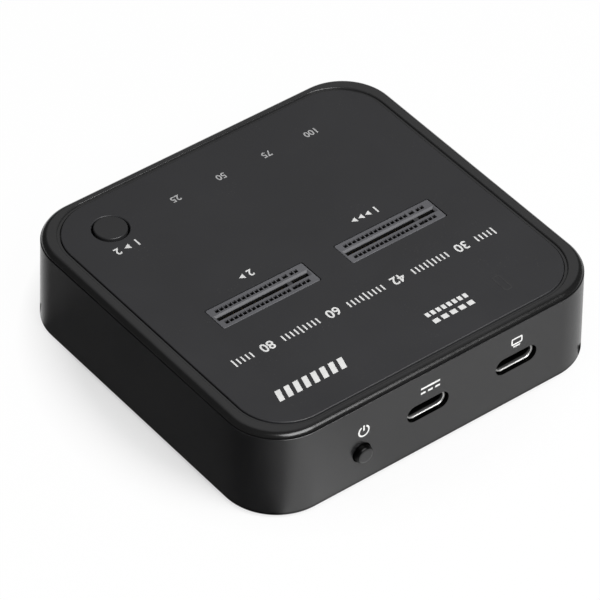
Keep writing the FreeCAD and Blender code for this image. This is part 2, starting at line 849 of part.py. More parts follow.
def make_power_switch_body():
    back, face = power_switch_faces()
    x, z = power_button_x, power_z
    half_w = power_switch_width / 2
    half_h = power_switch_height / 2
    body = box(x - half_w, x + half_w, back, face, z - half_h, z + half_h)
    body = body.fuse(power_switch_ears())
    room = slider_plate / 2 + slider_fit
    room_back, plate_back = spring_faces()
    cavity = box(x - room, x + room, room_back, face - power_switch_wall, z - room, z + room)
    half = slider_size / 2 + slider_fit
    mouth = box(x - half, x + half, face - overcut, face + overcut, z - half, z + half)
    return body.cut([cavity, mouth] + power_switch_pin_shapes()).removeSplitter()


def make_power_switch_slider():
    x, z = power_button_x, power_z
    room_back, plate_back = spring_faces()
    plate_front = plate_back + slider_plate_thickness
    half = slider_size / 2
    wide = slider_plate / 2
    shaft = box(x - half, x + half, plate_front, slider_tip_y(), z - half, z + half)
    plate = box(x - wide, x + wide, plate_back, plate_front, z - wide, z + wide)
    return shaft.fuse(plate)


def make_power_switch_spring():
    back, front = spring_faces()
    length = front - back - spring_wire
    pitch = length / spring_turns
    path = Part.makeHelix(pitch, length, spring_radius)
    start = Part.Circle(FreeCAD.Vector(spring_radius, 0, 0), FreeCAD.Vector(0, 1, 0), spring_wire / 2)
    coil = Part.Wire(path).makePipeShell([Part.Wire(start.toShape())], True, True)
    coil.rotate(FreeCAD.Vector(0, 0, 0), FreeCAD.Vector(1, 0, 0), -90)
    coil.translate(FreeCAD.Vector(power_button_x, back + spring_wire / 2, power_z))
    return Part.Solid(coil) if not coil.Solids else coil


def power_switch_pin_shapes():
    back, face = power_switch_faces()
    notch_half = power_notch()[1]
    pins = []
    for s in (-1, 1):
        x = power_button_x + s * (notch_half + power_switch_ear / 2)
        for i in (-1, 0, 1):
            y = (back + face) / 2 + i * switch_pin_pitch
            pins.append(block(x, y, switch_pin, switch_pin, board_top,
                              board_top + power_switch_ear_height / 2))
    return pins


# Lamps and the clear guides above them
def make_lamp(x, y):
    base = block(x, y, lamp_length, lamp_width, board_top, board_top + lamp_height - lamp_lens)
    lens_low = board_top + lamp_height - lamp_lens
    inset = lamp_width / 4
    lens = block(x, y, lamp_length - inset, lamp_width, lens_low, board_top + lamp_height)
    lens = lens.makeChamfer(inset / 2, edges_at_z(lens, board_top + lamp_height))
    return base.fuse(lens)


def guide_post(x, y):
    low = board_top + lamp_height + guide_gap
    return upright(guide_radius, x, y, low, panel_z - panel_skin)


def make_lamp_guide():
    posts = [guide_post(x, lamp_y) for x in lamp_places]
    length = lamp_spacing * (len(lamp_names) - 1) + guide_bar_width
    bar = rounded_prism(length, guide_bar_width, guide_bar_width / 2 - end_flat,
                        plate_z - guide_bar_thickness, plate_z, lamp_middle_x, lamp_y)
    return bar.fuse(posts).removeSplitter()


def make_status_guide():
    collar = upright(guide_flange, status_lamp_x, status_lamp_y, plate_z - guide_bar_thickness, plate_z)
    return collar.fuse(guide_post(status_lamp_x, status_lamp_y)).removeSplitter()


# Parts on the board
def make_bridge_chips():
    return [
        rounded_prism(bridge_size, bridge_size, bridge_height / 4, board_top, board_top + bridge_height,
                      x, bridge_y)
        for x in bridge_x
    ]


def leaded_package(x, y, length, width, height):
    lift = lead_thickness / 2
    body = block(x, y, length, width, board_top + lift, board_top + height)
    leads = []
    for i in range(lead_count):
        lead_x = x + (i - (lead_count - 1) / 2) * lead_pitch
        leads.append(block(lead_x, y, lead_width, width + 2 * lead_reach, board_top,
                           board_top + lead_thickness))
    return body.fuse(leads).removeSplitter()


def make_controller():
    x, y = controller_x, controller_y
    high = board_top + controller_height
    body = block(x, y, controller_size, controller_size, board_top + lead_thickness / 2, high)
    body = body.makeChamfer(controller_height / 4, edges_at_z(body, high))
    rows = int((controller_size / 2 - lead_reach) / contact_pitch)
    reach = controller_size / 2 + lead_reach
    leads = []
    for i in range(-rows, rows + 1):
        for turn in range(4):
            lead = box(controller_size / 2, reach, i * contact_pitch - lead_width / 4,
                       i * contact_pitch + lead_width / 4, board_top, board_top + lead_thickness)
            lead.rotate(FreeCAD.Vector(0, 0, 0), FreeCAD.Vector(0, 0, 1), 90 * turn)
            leads.append(under_board(moved(lead, x, y)))
    return under_board(body), leads


def rounded_lump(x, y, size, height, radius):
    lump = rounded_prism(size, size, radius, board_top, board_top + height, x, y)
    return lump.makeChamfer(radius / 3, edges_at_z(lump, board_top + height))


def slot_power_places():
    return [(x, slot_y + power_parts_y) for x in slot_places.values()]


def regulator_places():
    return slot_power_places() + [(power_inlet_x, inlet_parts_y)]


def make_regulators():
    return group([
        block(x, y, regulator_size, regulator_size, board_top, board_top + regulator_height)
        for x, y in regulator_places()
    ])


def make_inductors():
    shift = regulator_size / 2 + inductor_size / 2 + chip_width
    return group([
        rounded_lump(x + shift, y, inductor_size, inductor_height, inductor_round)
        for x, y in regulator_places()
    ])


def make_can_capacitors():
    shift = regulator_size / 2 + can_base / 2 + chip_width
    cans = []
    for x, y in slot_power_places():
        base = block(x - shift, y, can_base, can_base, board_top, board_top + can_base_height)
        top = board_top + can_height
        can = upright(can_radius, x - shift, y, board_top + can_base_height, top)
        can = can.makeFillet(can_skirt_groove, edges_at_z(can, top))
        cans.append(base.fuse(can))
    return group(cans)


def make_crystals():
    gap = bridge_size / 2 + crystal_width / 2 + chip_width
    places = [(x - bridge_size / 4, bridge_y - gap) for x in bridge_x]
    return group([
        rounded_prism(crystal_length, crystal_width, crystal_corner, board_top,
                      board_top + crystal_height, x, y)
        for x, y in places
    ])


def chip_row(x, y, count, height, across):
    chips = []
    for i in range(count):
        shift = (i - (count - 1) / 2) * chip_spacing
        cx = x + (shift if across else 0)
        cy = y + (0 if across else shift)
        length = chip_width if across else chip_length
        width = chip_length if across else chip_width
        chips.append(block(cx, cy, length, width, board_top, board_top + height))
    return chips


def make_capacitors():
    rows = []
    for x in slot_places.values():
        rows += chip_row(x, slot_y + tail_reach + 2 * chip_length, slot_capacitors,
                         capacitor_height, True)
    edge = controller_size / 2 + lead_reach + chip_length
    rows += [under_board(chip) for y in (controller_y - edge, controller_y + edge)
             for chip in chip_row(controller_x, y, controller_capacitors, capacitor_height, True)]
    return group(rows)


def make_resistors():
    edge = controller_size / 2 + lead_reach + chip_length
    rows = []
    for x in (controller_x - edge, controller_x + edge):
        rows += [under_board(chip) for chip in
                 chip_row(x, controller_y, controller_resistors, resistor_height, False)]
    rows += [chip for x in lamp_places
             for chip in chip_row(x, lamp_y + 2 * chip_spacing, 1, resistor_height, True)]
    return group(rows)


def make_memory_chip():
    return leaded_package(memory_x, memory_y, memory_length, memory_width, memory_height)


def all_parts():
    controller, controller_leads = make_controller()
    parts = {
        "side_housing": make_side_housing(),
        "top_cover": make_top_cover(),
        "top_panel": make_top_panel(),
        "bottom_cover": make_bottom_cover(),
        "case_screws": make_case_screws(),
        "board_screws": make_board_screws(),
        "main_board": make_main_board(),
        "copy_button_cap": make_copy_button(),
        "copy_switch_base": make_copy_switch_base(),
        "copy_switch_legs": group(make_copy_switch_legs()),
        "copy_switch_cover": make_copy_switch_cover(),
        "copy_switch_plunger": make_copy_switch_plunger(),
        "copy_switch_dome": make_copy_switch_dome(),
        "power_button_cap": make_power_button(),
        "power_switch_body": make_power_switch_body(),
        "power_switch_slider": make_power_switch_slider(),
        "power_switch_spring": make_power_switch_spring(),
        "power_switch_pins": group(power_switch_pin_shapes()),
        "progress_light_guide": make_lamp_guide(),
        "status_lamp": make_lamp(status_lamp_x, status_lamp_y),
        "status_light_guide": make_status_guide(),
        "controller_chip": controller,
        "controller_leads": group(controller_leads),
        "memory_chip": make_memory_chip(),
        "voltage_regulators": make_regulators(),
        "power_inductors": make_inductors(),
        "can_capacitors": make_can_capacitors(),
        "crystals": make_crystals(),
        "ceramic_capacitors": make_capacitors(),
        "chip_resistors": make_resistors(),
    }
    for place, (x, y) in foot_places.items():
        parts["rubber_foot_" + place] = make_foot(x, y)
    for name, x in zip(lamp_names, lamp_places):
        parts["progress_lamp_" + name] = make_lamp(x, lamp_y)
    for name, chip in zip(("source_bridge_chip", "target_bridge_chip"), make_bridge_chips()):
        parts[name] = chip
    socket = make_slot_socket()
    contacts = make_slot_contacts()
    hold_downs = make_slot_hold_downs()
    for name, x in slot_places.items():
        parts[name + "_slot_socket"] = moved(socket, x, slot_y)
        parts[name + "_slot_contacts"] = moved(contacts, x, slot_y)
        parts[name + "_slot_hold_downs"] = moved(hold_downs, x, slot_y)
    shell = make_port_shell()
    insulator = make_port_insulator()
    pins = make_port_contacts()
    for name, x in port_places.items():
        parts[name + "_shell"] = moved(shell, x)
        parts[name + "_insulator"] = moved(insulator, x)
        parts[name + "_contacts"] = moved(pins, x)
    return parts


# The power button is what stands out furthest at the rear
footprint_shift = -(wall_y_at(power_z) + power_button_proud - case_depth / 2) / 2


def main():
    os.makedirs("parts", exist_ok=True)
    for name, shape in all_parts().items():
        placed = moved(shape, 0, footprint_shift)
        placed.exportStep("parts/" + name + ".step")
        print(name, len(placed.Solids), placed.isValid(), round(placed.Volume, 2))


main()
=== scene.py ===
import bmesh
import bpy
import json
import math
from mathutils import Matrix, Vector


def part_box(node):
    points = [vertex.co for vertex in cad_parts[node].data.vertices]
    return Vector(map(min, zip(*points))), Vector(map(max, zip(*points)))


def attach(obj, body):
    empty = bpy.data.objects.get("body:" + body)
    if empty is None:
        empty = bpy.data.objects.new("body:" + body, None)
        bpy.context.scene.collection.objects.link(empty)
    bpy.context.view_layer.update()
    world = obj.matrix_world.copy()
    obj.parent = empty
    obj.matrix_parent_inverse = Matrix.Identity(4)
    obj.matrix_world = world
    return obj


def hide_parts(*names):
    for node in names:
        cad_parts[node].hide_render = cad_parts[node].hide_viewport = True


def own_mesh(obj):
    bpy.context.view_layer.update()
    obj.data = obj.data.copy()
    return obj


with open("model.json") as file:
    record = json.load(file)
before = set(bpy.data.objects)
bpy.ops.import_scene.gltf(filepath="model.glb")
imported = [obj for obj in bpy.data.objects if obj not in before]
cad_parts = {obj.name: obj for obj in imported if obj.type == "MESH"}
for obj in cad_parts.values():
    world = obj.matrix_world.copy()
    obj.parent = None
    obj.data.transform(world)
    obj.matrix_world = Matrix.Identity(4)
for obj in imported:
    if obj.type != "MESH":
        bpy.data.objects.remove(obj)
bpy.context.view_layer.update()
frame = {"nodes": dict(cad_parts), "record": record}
print("frame loaded")

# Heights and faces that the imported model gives, in metres
housingLow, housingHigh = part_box("side_housing")
panelLow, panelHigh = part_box("top_panel")
middleY = (housingLow.y + housingHigh.y) / 2
baseZ = housingLow.z
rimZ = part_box("top_cover")[1].z
recessZ = panelLow.z
panelZ = panelHigh.z

# Slack in metres: for comparing places, what stays straight between two round ends,
# and how far a cutter goes past a face
slack = {"same": 1e-6, "close": 2e-5, "straight": 1e-5, "past": 0.001}


# Small tools for modelling
def inMetres(sizes):
    # whole numbers are counts or degrees and stay, all other sizes are written in millimetres
    def scaled(size):
        if isinstance(size, (tuple, list)):
            return tuple(scaled(one) for one in size)
        return size * 0.001 if isinstance(size, float) else size
    return {key: scaled(v) for key, v in sizes.items()}


def objectMode():
    if bpy.context.object and bpy.context.object.mode != "OBJECT":
        bpy.ops.object.mode_set(mode="OBJECT")


def selectNothing():
    objectMode()
    bpy.ops.object.select_all(action="DESELECT")


def selectOnly(*pieces):
    selectNothing()
    for piece in pieces:
        piece.select_set(True)
    bpy.context.view_layer.objects.active = pieces[0]


def applyPlace():
    bpy.ops.object.transform_apply(location=True, rotation=True, scale=True)


def editPiece(piece):
    selectOnly(piece)
    bpy.ops.object.mode_set(mode="EDIT")


def pickAll(kind):
    bpy.ops.mesh.select_mode(type=kind)
    bpy.ops.mesh.select_all(action="SELECT")


def pickNone(kind):
    bpy.ops.mesh.select_mode(type=kind)
    bpy.ops.mesh.select_all(action="DESELECT")


def pickRims():
    # the open edges of a shape
    pickNone("EDGE")
    bpy.ops.mesh.select_non_manifold()


def startPlate(name, width, depth, radius, x, y, z, segments=1):
    # a flat face with rounded corners, left in edit mode and selected
    selectNothing()
    bpy.ops.mesh.primitive_plane_add(size=1, location=(x, y, z))
    piece = bpy.context.object
    piece.name = name
    piece.scale = (width, depth, 1)
    applyPlace()
    bpy.ops.object.mode_set(mode="EDIT")
    pickAll("VERT")
    if radius:
        bpy.ops.mesh.bevel(offset=radius, segments=segments, affect="VERTICES")
    pickAll("FACE")
    return piece


def startDisc(name, radius, x, y, z, vertices):
    selectNothing()
    bpy.ops.mesh.primitive_circle_add(
        vertices=vertices, radius=radius, fill_type="NGON", location=(x, y, z))
    piece = bpy.context.object
    piece.name = name
    applyPlace()
    bpy.ops.object.mode_set(mode="EDIT")
    pickAll("FACE")
    return piece


def grow(steps, up=1):
    # each step is (how far in, how far along the face's own direction)
    for inward, along in steps:
        if inward > 0:
            bpy.ops.mesh.inset(thickness=inward, depth=along)
        else:
            bpy.ops.mesh.extrude_region_move(TRANSFORM_OT_translate={"value": (0, 0, up * along)})


def roundSteps(radius, count, tilt=90):
    # from an upright wall, or one at a tilt, over to a flat top
    start = math.radians(90 - tilt)
    turns = [start + (math.pi / 2 - start) * i / count for i in range(count + 1)]
    return [
        (radius * (math.cos(a) - math.cos(b)), radius * (math.sin(b) - math.sin(a)))
        for a, b in zip(turns, turns[1:])
    ]


def hollowSteps(radius, count):
    # from a flat top over and down into a recess
    return [(along, -inward) for inward, along in reversed(roundSteps(radius, count))]


def pickFaces(test):
    pickNone("FACE")
    mesh = bmesh.from_edit_mesh(bpy.context.object.data)
    mesh.normal_update()
    for face in mesh.faces:
        if test(face.calc_center_median()):
            face.select_set(True)
    bmesh.update_edit_mesh(bpy.context.object.data)


def pickEdges(test):
    pickNone("EDGE")
    mesh = bmesh.from_edit_mesh(bpy.context.object.data)
    for edge in mesh.edges:
        if test(edge.verts[0].co, edge.verts[1].co):
            edge.select_set(True)
    bmesh.update_edit_mesh(bpy.context.object.data)


def closeUnderside():
    # the face that a plate was grown from is gone, so its outline is filled again
    pickRims()
    bpy.ops.mesh.edge_face_add()
    bpy.ops.mesh.select_mode(type="FACE")
    mesh = bmesh.from_edit_mesh(bpy.context.object.data)
    for face in mesh.faces:
        if face.select and face.normal.z > 0:
            face.normal_flip()
    bmesh.update_edit_mesh(bpy.context.object.data)


def outwardNormals():
    bpy.ops.mesh.select_all(action="SELECT")
    bpy.ops.mesh.normals_make_consistent(inside=False)


def applyModifier(piece, kind, **settings):
    selectOnly(piece)
    modifier = piece.modifiers.new(kind.lower(), kind)
    for key, value in settings.items():
        setattr(modifier, key, value)
    bpy.ops.object.modifier_apply(modifier=modifier.name)


def combine(piece, others, operation):
    objectMode()
    for other in others:
        applyModifier(piece, "BOOLEAN", object=other, operation=operation, solver="EXACT")
        bpy.data.objects.remove(other)


def raiseSolid(piece, height):
    grow([(0, height)])
    closeUnderside()
    outwardNormals()
    objectMode()
    return piece


def plateSolid(name, width, depth, radius, x, y, low, high, segments=1):
    return raiseSolid(startPlate(name, width, depth, radius, x, y, low, segments), high - low)


def discSolid(name, radius, x, y, low, high, vertices):
    return raiseSolid(startDisc(name, radius, x, y, low, vertices), high - low)


def turnPiece(piece, turn, place):
    # modelled upright about the origin, then laid over and put in place
    selectOnly(piece)
    piece.rotation_euler = turn
    piece.location = place
    applyPlace()


def bevelEdges(width, segments=2):
    bpy.ops.mesh.bevel(offset=width, segments=segments, affect="EDGES", clamp_overlap=True)


def finishPiece(piece, slotName, body, nodes=(), material=None, angle=32):
    # its finish is the one of its slot, unless another is named
    selectOnly(piece)
    bpy.ops.object.shade_smooth_by_angle(angle=math.radians(angle))
    applyModifier(piece, "WEIGHTED_NORMAL", keep_sharp=True, weight=80)
    piece.data.materials.clear()
    piece.data.materials.append(material or finishes[slotName])
    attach(piece, body)
    if nodes:
        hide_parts(*nodes)
    print("made", piece.name, len(piece.data.polygons), "faces")


def copyPiece(piece, name, offset):
    selectOnly(piece)
    bpy.ops.object.duplicate(linked=False)
    twin = bpy.context.object
    twin.name = name
    twin.location = offset
    applyPlace()
    return twin


# Node groups for the finishes
def newGroup(name, inputs, outputs):
    group = bpy.data.node_groups.new(name, "ShaderNodeTree")
    for label, value in inputs:
        socket = group.interface.new_socket(name=label, in_out="INPUT", socket_type="NodeSocketFloat")
        socket.default_value = value
    for label in outputs:
        group.interface.new_socket(name=label, in_out="OUTPUT", socket_type="NodeSocketFloat")
    entry = group.nodes.new("NodeGroupInput")
    leave = group.nodes.new("NodeGroupOutput")
    return group, entry, leave


def setInputs(node, values):
    for key, value in values.items():
        node.inputs[key].default_value = value


def addNode(tree, kind, values=None, **settings):
    node = tree.nodes.new(kind)
    for key, value in settings.items():
        setattr(node, key, value)
    setInputs(node, values or {})
    return node


def mathNode(tree, operation, first, second):
    node = addNode(tree, "ShaderNodeMath", operation=operation)
    for i, value in enumerate((first, second)):
        if isinstance(value, (int, float)):
            node.inputs[i].default_value = value
        else:
            tree.links.new(value, node.inputs[i])
    return node.outputs[0]


def rangeNode(tree, value, low, high, outLow=0.0, outHigh=1.0):
    ends = {"From Min": low, "From Max": high, "To Min": outLow, "To Max": outHigh}
    node = addNode(tree, "ShaderNodeMapRange", ends)
    tree.links.new(value, node.inputs["Value"])
    return node.outputs["Result"]


def objectPlace(tree):
    return addNode(tree, "ShaderNodeTexCoord").outputs["Object"]


def axisPart(tree, source, axis):
    parts = addNode(tree, "ShaderNodeSeparateXYZ")
    tree.links.new(source, parts.inputs["Vector"])
    return parts.outputs[axis]


def mixColours(tree, factor, first, second):
    node = addNode(tree, "ShaderNodeMix", data_type="RGBA")
    tree.links.new(factor, node.inputs["Factor"])
    for socket, value in ((node.inputs[6], first), (node.inputs[7], second)):
        if isinstance(value, (tuple, list)):
            socket.default_value = (*value, 1)
        else:
            tree.links.new(value, socket)
    return node.outputs[2]


def buildMouldedGrain():
    # fine spark-eroded texture of a moulded surface, and a slow change over it
    group, entry, leave = newGroup(
        "mouldedGrain", [("Grain Scale", 6000.0), ("Cloud Scale", 60.0)], ["Height", "Cloud"])
    place = objectPlace(group)
    grain = addNode(group, "ShaderNodeTexNoise", {"Detail": 3.0, "Roughness": 0.6})
    pits = addNode(group, "ShaderNodeTexVoronoi", feature="SMOOTH_F1")
    cloud = addNode(group, "ShaderNodeTexNoise", {"Detail": 4.0, "Roughness": 0.55, "Distortion": 0.4})
    links = group.links
    for texture in (grain, pits, cloud):
        links.new(place, texture.inputs["Vector"])
    links.new(entry.outputs["Grain Scale"], grain.inputs["Scale"])
    links.new(mathNode(group, "MULTIPLY", entry.outputs["Grain Scale"], 0.6), pits.inputs["Scale"])
    links.new(entry.outputs["Cloud Scale"], cloud.inputs["Scale"])
    height = mathNode(group, "ADD", mathNode(group, "MULTIPLY", grain.outputs["Fac"], 0.6),
                      mathNode(group, "MULTIPLY", pits.outputs["Distance"], 0.5))
    links.new(height, leave.inputs["Height"])
    links.new(rangeNode(group, cloud.outputs["Fac"], 0.3, 0.7), leave.inputs["Cloud"])
    return group


def buildSettledDust():
    # sparse specks, more of them where a surface faces up
    group, entry, leave = newGroup("settledDust", [("Speck Scale", 900.0), ("Amount", 0.1)], ["Mask"])
    place = objectPlace(group)
    specks = addNode(group, "ShaderNodeTexVoronoi")
    patches = addNode(group, "ShaderNodeTexNoise", {"Scale": 140.0, "Detail": 2.0})
    face = addNode(group, "ShaderNodeNewGeometry")
    links = group.links
    links.new(place, specks.inputs["Vector"])
    links.new(place, patches.inputs["Vector"])
    links.new(entry.outputs["Speck Scale"], specks.inputs["Scale"])
    dot = rangeNode(group, specks.outputs["Distance"], 0.05, 0.22, 1.0, 0.0)
    patch = rangeNode(group, patches.outputs["Fac"], 0.5, 0.75)
    upward = rangeNode(group, axisPart(group, face.outputs["Normal"], "Z"), 0.2, 1.0, 0.15)
    mask = mathNode(group, "MULTIPLY", mathNode(group, "MULTIPLY", dot, patch), upward)
    links.new(mathNode(group, "MULTIPLY", mask, entry.outputs["Amount"]), leave.inputs["Mask"])
    return group


def buildDrawnLines():
    # long fine lines of drawn or rolled metal
    group, entry, leave = newGroup("drawnLines", [("Line Scale", 4000.0)], ["Height", "Tone"])
    place = objectPlace(group)
    stretch = addNode(group, "ShaderNodeMapping")
    stretch.inputs["Scale"].default_value = (0.06, 1.0, 1.0)
    lines = addNode(group, "ShaderNodeTexNoise", {"Detail": 4.0, "Roughness": 0.7})
    stains = addNode(group, "ShaderNodeTexNoise", {"Scale": 500.0, "Detail": 3.0})
    links = group.links
    links.new(place, stretch.inputs["Vector"])
    links.new(stretch.outputs["Vector"], lines.inputs["Vector"])
    links.new(place, stains.inputs["Vector"])
    links.new(entry.outputs["Line Scale"], lines.inputs["Scale"])
    links.new(lines.outputs["Fac"], leave.inputs["Height"])
    links.new(rangeNode(group, stains.outputs["Fac"], 0.3, 0.7), leave.inputs["Tone"])
    return group


mouldedGrain = buildMouldedGrain()
settledDust = buildSettledDust()
drawnLines = buildDrawnLines()


# Materials
dustColour = (0.32, 0.31, 0.3)


def newMaterial(name):
    material = bpy.data.materials.new(name)
    material.use_nodes = True
    return material, material.node_tree, material.node_tree.nodes["Principled BSDF"]


def useGroup(tree, group, values):
    return addNode(tree, "ShaderNodeGroup", values, node_tree=group)


def addBump(tree, shader, height, strength, distance):
    bump = addNode(tree, "ShaderNodeBump", {"Strength": strength, "Distance": distance})
    tree.links.new(height, bump.inputs["Height"])
    tree.links.new(bump.outputs["Normal"], shader.inputs["Normal"])


def mouldedPlastic(name, dark, light, roughness, ior=1.4, grainScale=6000.0, bump=0.25, dust=0.1):
    material, tree, shader = newMaterial(name)
    grain = useGroup(tree, mouldedGrain, {"Grain Scale": grainScale, "Cloud Scale": 55.0})
    specks = useGroup(tree, settledDust, {"Speck Scale": 1400.0, "Amount": dust})
    tone = mixColours(tree, grain.outputs["Cloud"], dark, light)
    dusty = mixColours(tree, specks.outputs["Mask"], tone, dustColour)
    tree.links.new(dusty, shader.inputs["Base Color"])
    smooth = rangeNode(tree, grain.outputs["Cloud"], 0.0, 1.0, *roughness)
    rough = mathNode(tree, "ADD", smooth, mathNode(tree, "MULTIPLY", specks.outputs["Mask"], 0.3))
    tree.links.new(rough, shader.inputs["Roughness"])
    shader.inputs["IOR"].default_value = ior
    addBump(tree, shader, grain.outputs["Height"], bump, 0.00004)
    return material


def drawnMetal(name, dark, light, roughness, lineScale=4000.0, bump=0.15):
    material, tree, shader = newMaterial(name)
    lines = useGroup(tree, drawnLines, {"Line Scale": lineScale})
    tree.links.new(mixColours(tree, lines.outputs["Tone"], dark, light), shader.inputs["Base Color"])
    rough = rangeNode(tree, lines.outputs["Height"], 0.3, 0.7, *roughness)
    tree.links.new(rough, shader.inputs["Roughness"])
    shader.inputs["Metallic"].default_value = 1.0
    addBump(tree, shader, lines.outputs["Height"], bump, 0.00002)
    return material


# Where painted shade makes a finish darker: places on Y and outwards, and depths below the rim,
# above the foot of the wall and behind a mouth
shade = inMetres({
    "rearWall": (34.3, 34.5), "belowSeam": (1.8, 2.0), "foot": (0.9, 0.6), "edge": (7.5, 16.0),
    "socket": (0.3, 0.5), "shell": (-0.4, -0.1),
})


def axisMask(tree, source, axis, zeroAt, oneAt):
    # goes from 0 to 1 along one axis of a place or of a direction
    return rangeNode(tree, axisPart(tree, source, axis), zeroAt, oneAt)


def paintShadeWhere(material, mask, inside, shine):
    # paints shade: takes the finish over to a darker and duller one
    tree = material.node_tree
    shader = tree.nodes["Principled BSDF"]
    bright = shader.inputs["Base Color"].links[0].from_socket
    tree.links.new(mixColours(tree, mask, bright, inside), shader.inputs["Base Color"])
    level = shader.inputs["Specular IOR Level"]
    tree.links.new(rangeNode(tree, mask, 0.0, 1.0, level.default_value, shine), level)


def paintShadeInside(material, axis, mouth, depths, inside):
    # painted shade deep inside an opening
    tree = material.node_tree
    shallow, deep = depths
    mask = axisMask(tree, objectPlace(tree), axis, mouth - shallow, mouth - deep)
    paintShadeWhere(material, mask, inside, 0.5)


def paintShadeInOpeningsAndFoot(material, inside=(0.001, 0.001, 0.001), turned=(0.5, 0.6)):
    # painted shade where a face at the rear wall looks aside, as in the openings, and a painted shadow
    # along the foot of the walls
    tree = material.node_tree
    place = objectPlace(tree)
    face = addNode(tree, "ShaderNodeNewGeometry").outputs["True Normal"]
    atRear = axisMask(tree, place, "Y", *shade["rearWall"])
    aside = axisMask(tree, face, "Y", turned[1], turned[0])
    belowSeam = axisMask(tree, place, "Z", *(rimZ - drop for drop in shade["belowSeam"]))
    opening = mathNode(tree, "MULTIPLY", mathNode(tree, "MULTIPLY", atRear, aside), belowSeam)
    atFoot = axisMask(tree, place, "Z", *(baseZ + rise for rise in shade["foot"]))
    mask = mathNode(tree, "MAXIMUM", opening, mathNode(tree, "MULTIPLY", atFoot, 0.7))
    paintShadeWhere(material, mask, inside, 0.1)


def paintShadeOnOuterEdges(material, inside):
    # painted shade on the outer edges: there a face looks away from the middle, and the flat top keeps its
    # colour
    tree = material.node_tree
    face = addNode(tree, "ShaderNodeNewGeometry")
    flat = addNode(tree, "ShaderNodeVectorMath", operation="MULTIPLY")
    flat.inputs[1].default_value = (1, 1, 0)
    away = addNode(tree, "ShaderNodeVectorMath", operation="DOT_PRODUCT")
    tree.links.new(objectPlace(tree), flat.inputs[0])
    tree.links.new(flat.outputs["Vector"], away.inputs[0])
    tree.links.new(face.outputs["Normal"], away.inputs[1])
    paintShadeWhere(material, rangeNode(tree, away.outputs["Value"], *shade["edge"]), inside, 0.5)


def printedInk(name, dark, light):
    material, tree, shader = newMaterial(name)
    grain = useGroup(tree, mouldedGrain, {"Grain Scale": 9000.0, "Cloud Scale": 700.0})
    tree.links.new(mixColours(tree, grain.outputs["Cloud"], dark, light), shader.inputs["Base Color"])
    rough = rangeNode(tree, grain.outputs["Height"], 0.2, 0.8, 0.45, 0.65)
    tree.links.new(rough, shader.inputs["Roughness"])
    addBump(tree, shader, grain.outputs["Height"], 0.2, 0.00002)
    return material


def boardLacquer(name):
    # lacquered board: copper tracks show as lighter lines under the green
    material, tree, shader = newMaterial(name)
    place = objectPlace(tree)
    tracks = addNode(tree, "ShaderNodeTexBrick", {
        "Scale": 420.0, "Mortar Size": 0.012, "Bias": -0.2,
        "Color1": (0.0, 0.0, 0.0, 1), "Color2": (0.12, 0.12, 0.12, 1), "Mortar": (1.0, 1.0, 1.0, 1),
    })
    pads = addNode(tree, "ShaderNodeTexVoronoi", {"Scale": 700.0})
    tree.links.new(place, tracks.inputs["Vector"])
    tree.links.new(place, pads.inputs["Vector"])
    via = rangeNode(tree, pads.outputs["Distance"], 0.1, 0.14, 1.0, 0.0)
    green = mixColours(tree, tracks.outputs["Color"], (0.004, 0.045, 0.018), (0.012, 0.11, 0.045))
    tree.links.new(mixColours(tree, via, green, (0.42, 0.3, 0.12)), shader.inputs["Base Color"])
    tree.links.new(rangeNode(tree, via, 0.0, 1.0, 0.28, 0.4), shader.inputs["Roughness"])
    addBump(tree, shader, tracks.outputs["Color"], 0.3, 0.00003)
    return material


def clearMoulding(name, tint, roughness):
    material, tree, shader = newMaterial(name)
    grain = useGroup(tree, mouldedGrain, {"Grain Scale": 2500.0, "Cloud Scale": 300.0})
    cloud = grain.outputs["Cloud"]
    tree.links.new(mixColours(tree, cloud, tint, (0.95, 0.97, 1.0)), shader.inputs["Base Color"])
    tree.links.new(rangeNode(tree, cloud, 0.0, 1.0, roughness, roughness * 2), shader.inputs["Roughness"])
    setInputs(shader, {"Transmission Weight": 0.9, "IOR": 1.49})
    return material


# one case plastic in two copies: caseBlack, darker, is painted shade on the walls, and coverBlack, lighter,
# is painted light on the top
caseBlack = mouldedPlastic(
    "caseBlack", (0.012, 0.012, 0.0125), (0.015, 0.015, 0.0155), (0.18, 0.24), ior=1.6)
# the button plastic made darker for the power button on the rear wall: painted shade
capBlack = mouldedPlastic(
    "capBlack", (0.01, 0.01, 0.0105), (0.013, 0.013, 0.0135), (0.28, 0.34), ior=1.6)
coverBlack = mouldedPlastic(
    "coverBlack", (0.022, 0.022, 0.0225), (0.026, 0.026, 0.0265), (0.18, 0.24), ior=1.5)
panelBlack = mouldedPlastic(
    "panelBlack", (0.0265, 0.0265, 0.0285), (0.0315, 0.0315, 0.0338), (0.4, 0.48), ior=1.5)
buttonBlack = mouldedPlastic(
    "buttonBlack", (0.022, 0.022, 0.023), (0.027, 0.027, 0.028), (0.3, 0.38), ior=1.5)
footRubber = mouldedPlastic(
    "footRubber", (0.018, 0.018, 0.018), (0.03, 0.03, 0.029), (0.7, 0.85),
    grainScale=3500.0, bump=0.5, dust=0.35)
# painted sheen: the socket plastic is given a grey that stands in for the sheen on darker plastic
socketSheenGrey = mouldedPlastic("socketSheenGrey", (0.108, 0.108, 0.116), (0.142, 0.142, 0.152), (0.4, 0.5))
tongueBlack = mouldedPlastic("tongueBlack", (0.012, 0.012, 0.012), (0.02, 0.02, 0.02), (0.4, 0.5))
switchBlack = mouldedPlastic("switchBlack", (0.015, 0.015, 0.016), (0.025, 0.025, 0.025), (0.35, 0.5))
chipResin = mouldedPlastic(
    "chipResin", (0.018, 0.018, 0.019), (0.032, 0.031, 0.03), (0.5, 0.62), grainScale=4500.0, bump=0.4)
portSteel = drawnMetal("portSteel", (0.66, 0.66, 0.65), (0.8, 0.8, 0.79), (0.32, 0.45))
# painted shade in the rear openings and a painted shadow along the foot of the walls
paintShadeInOpeningsAndFoot(caseBlack)
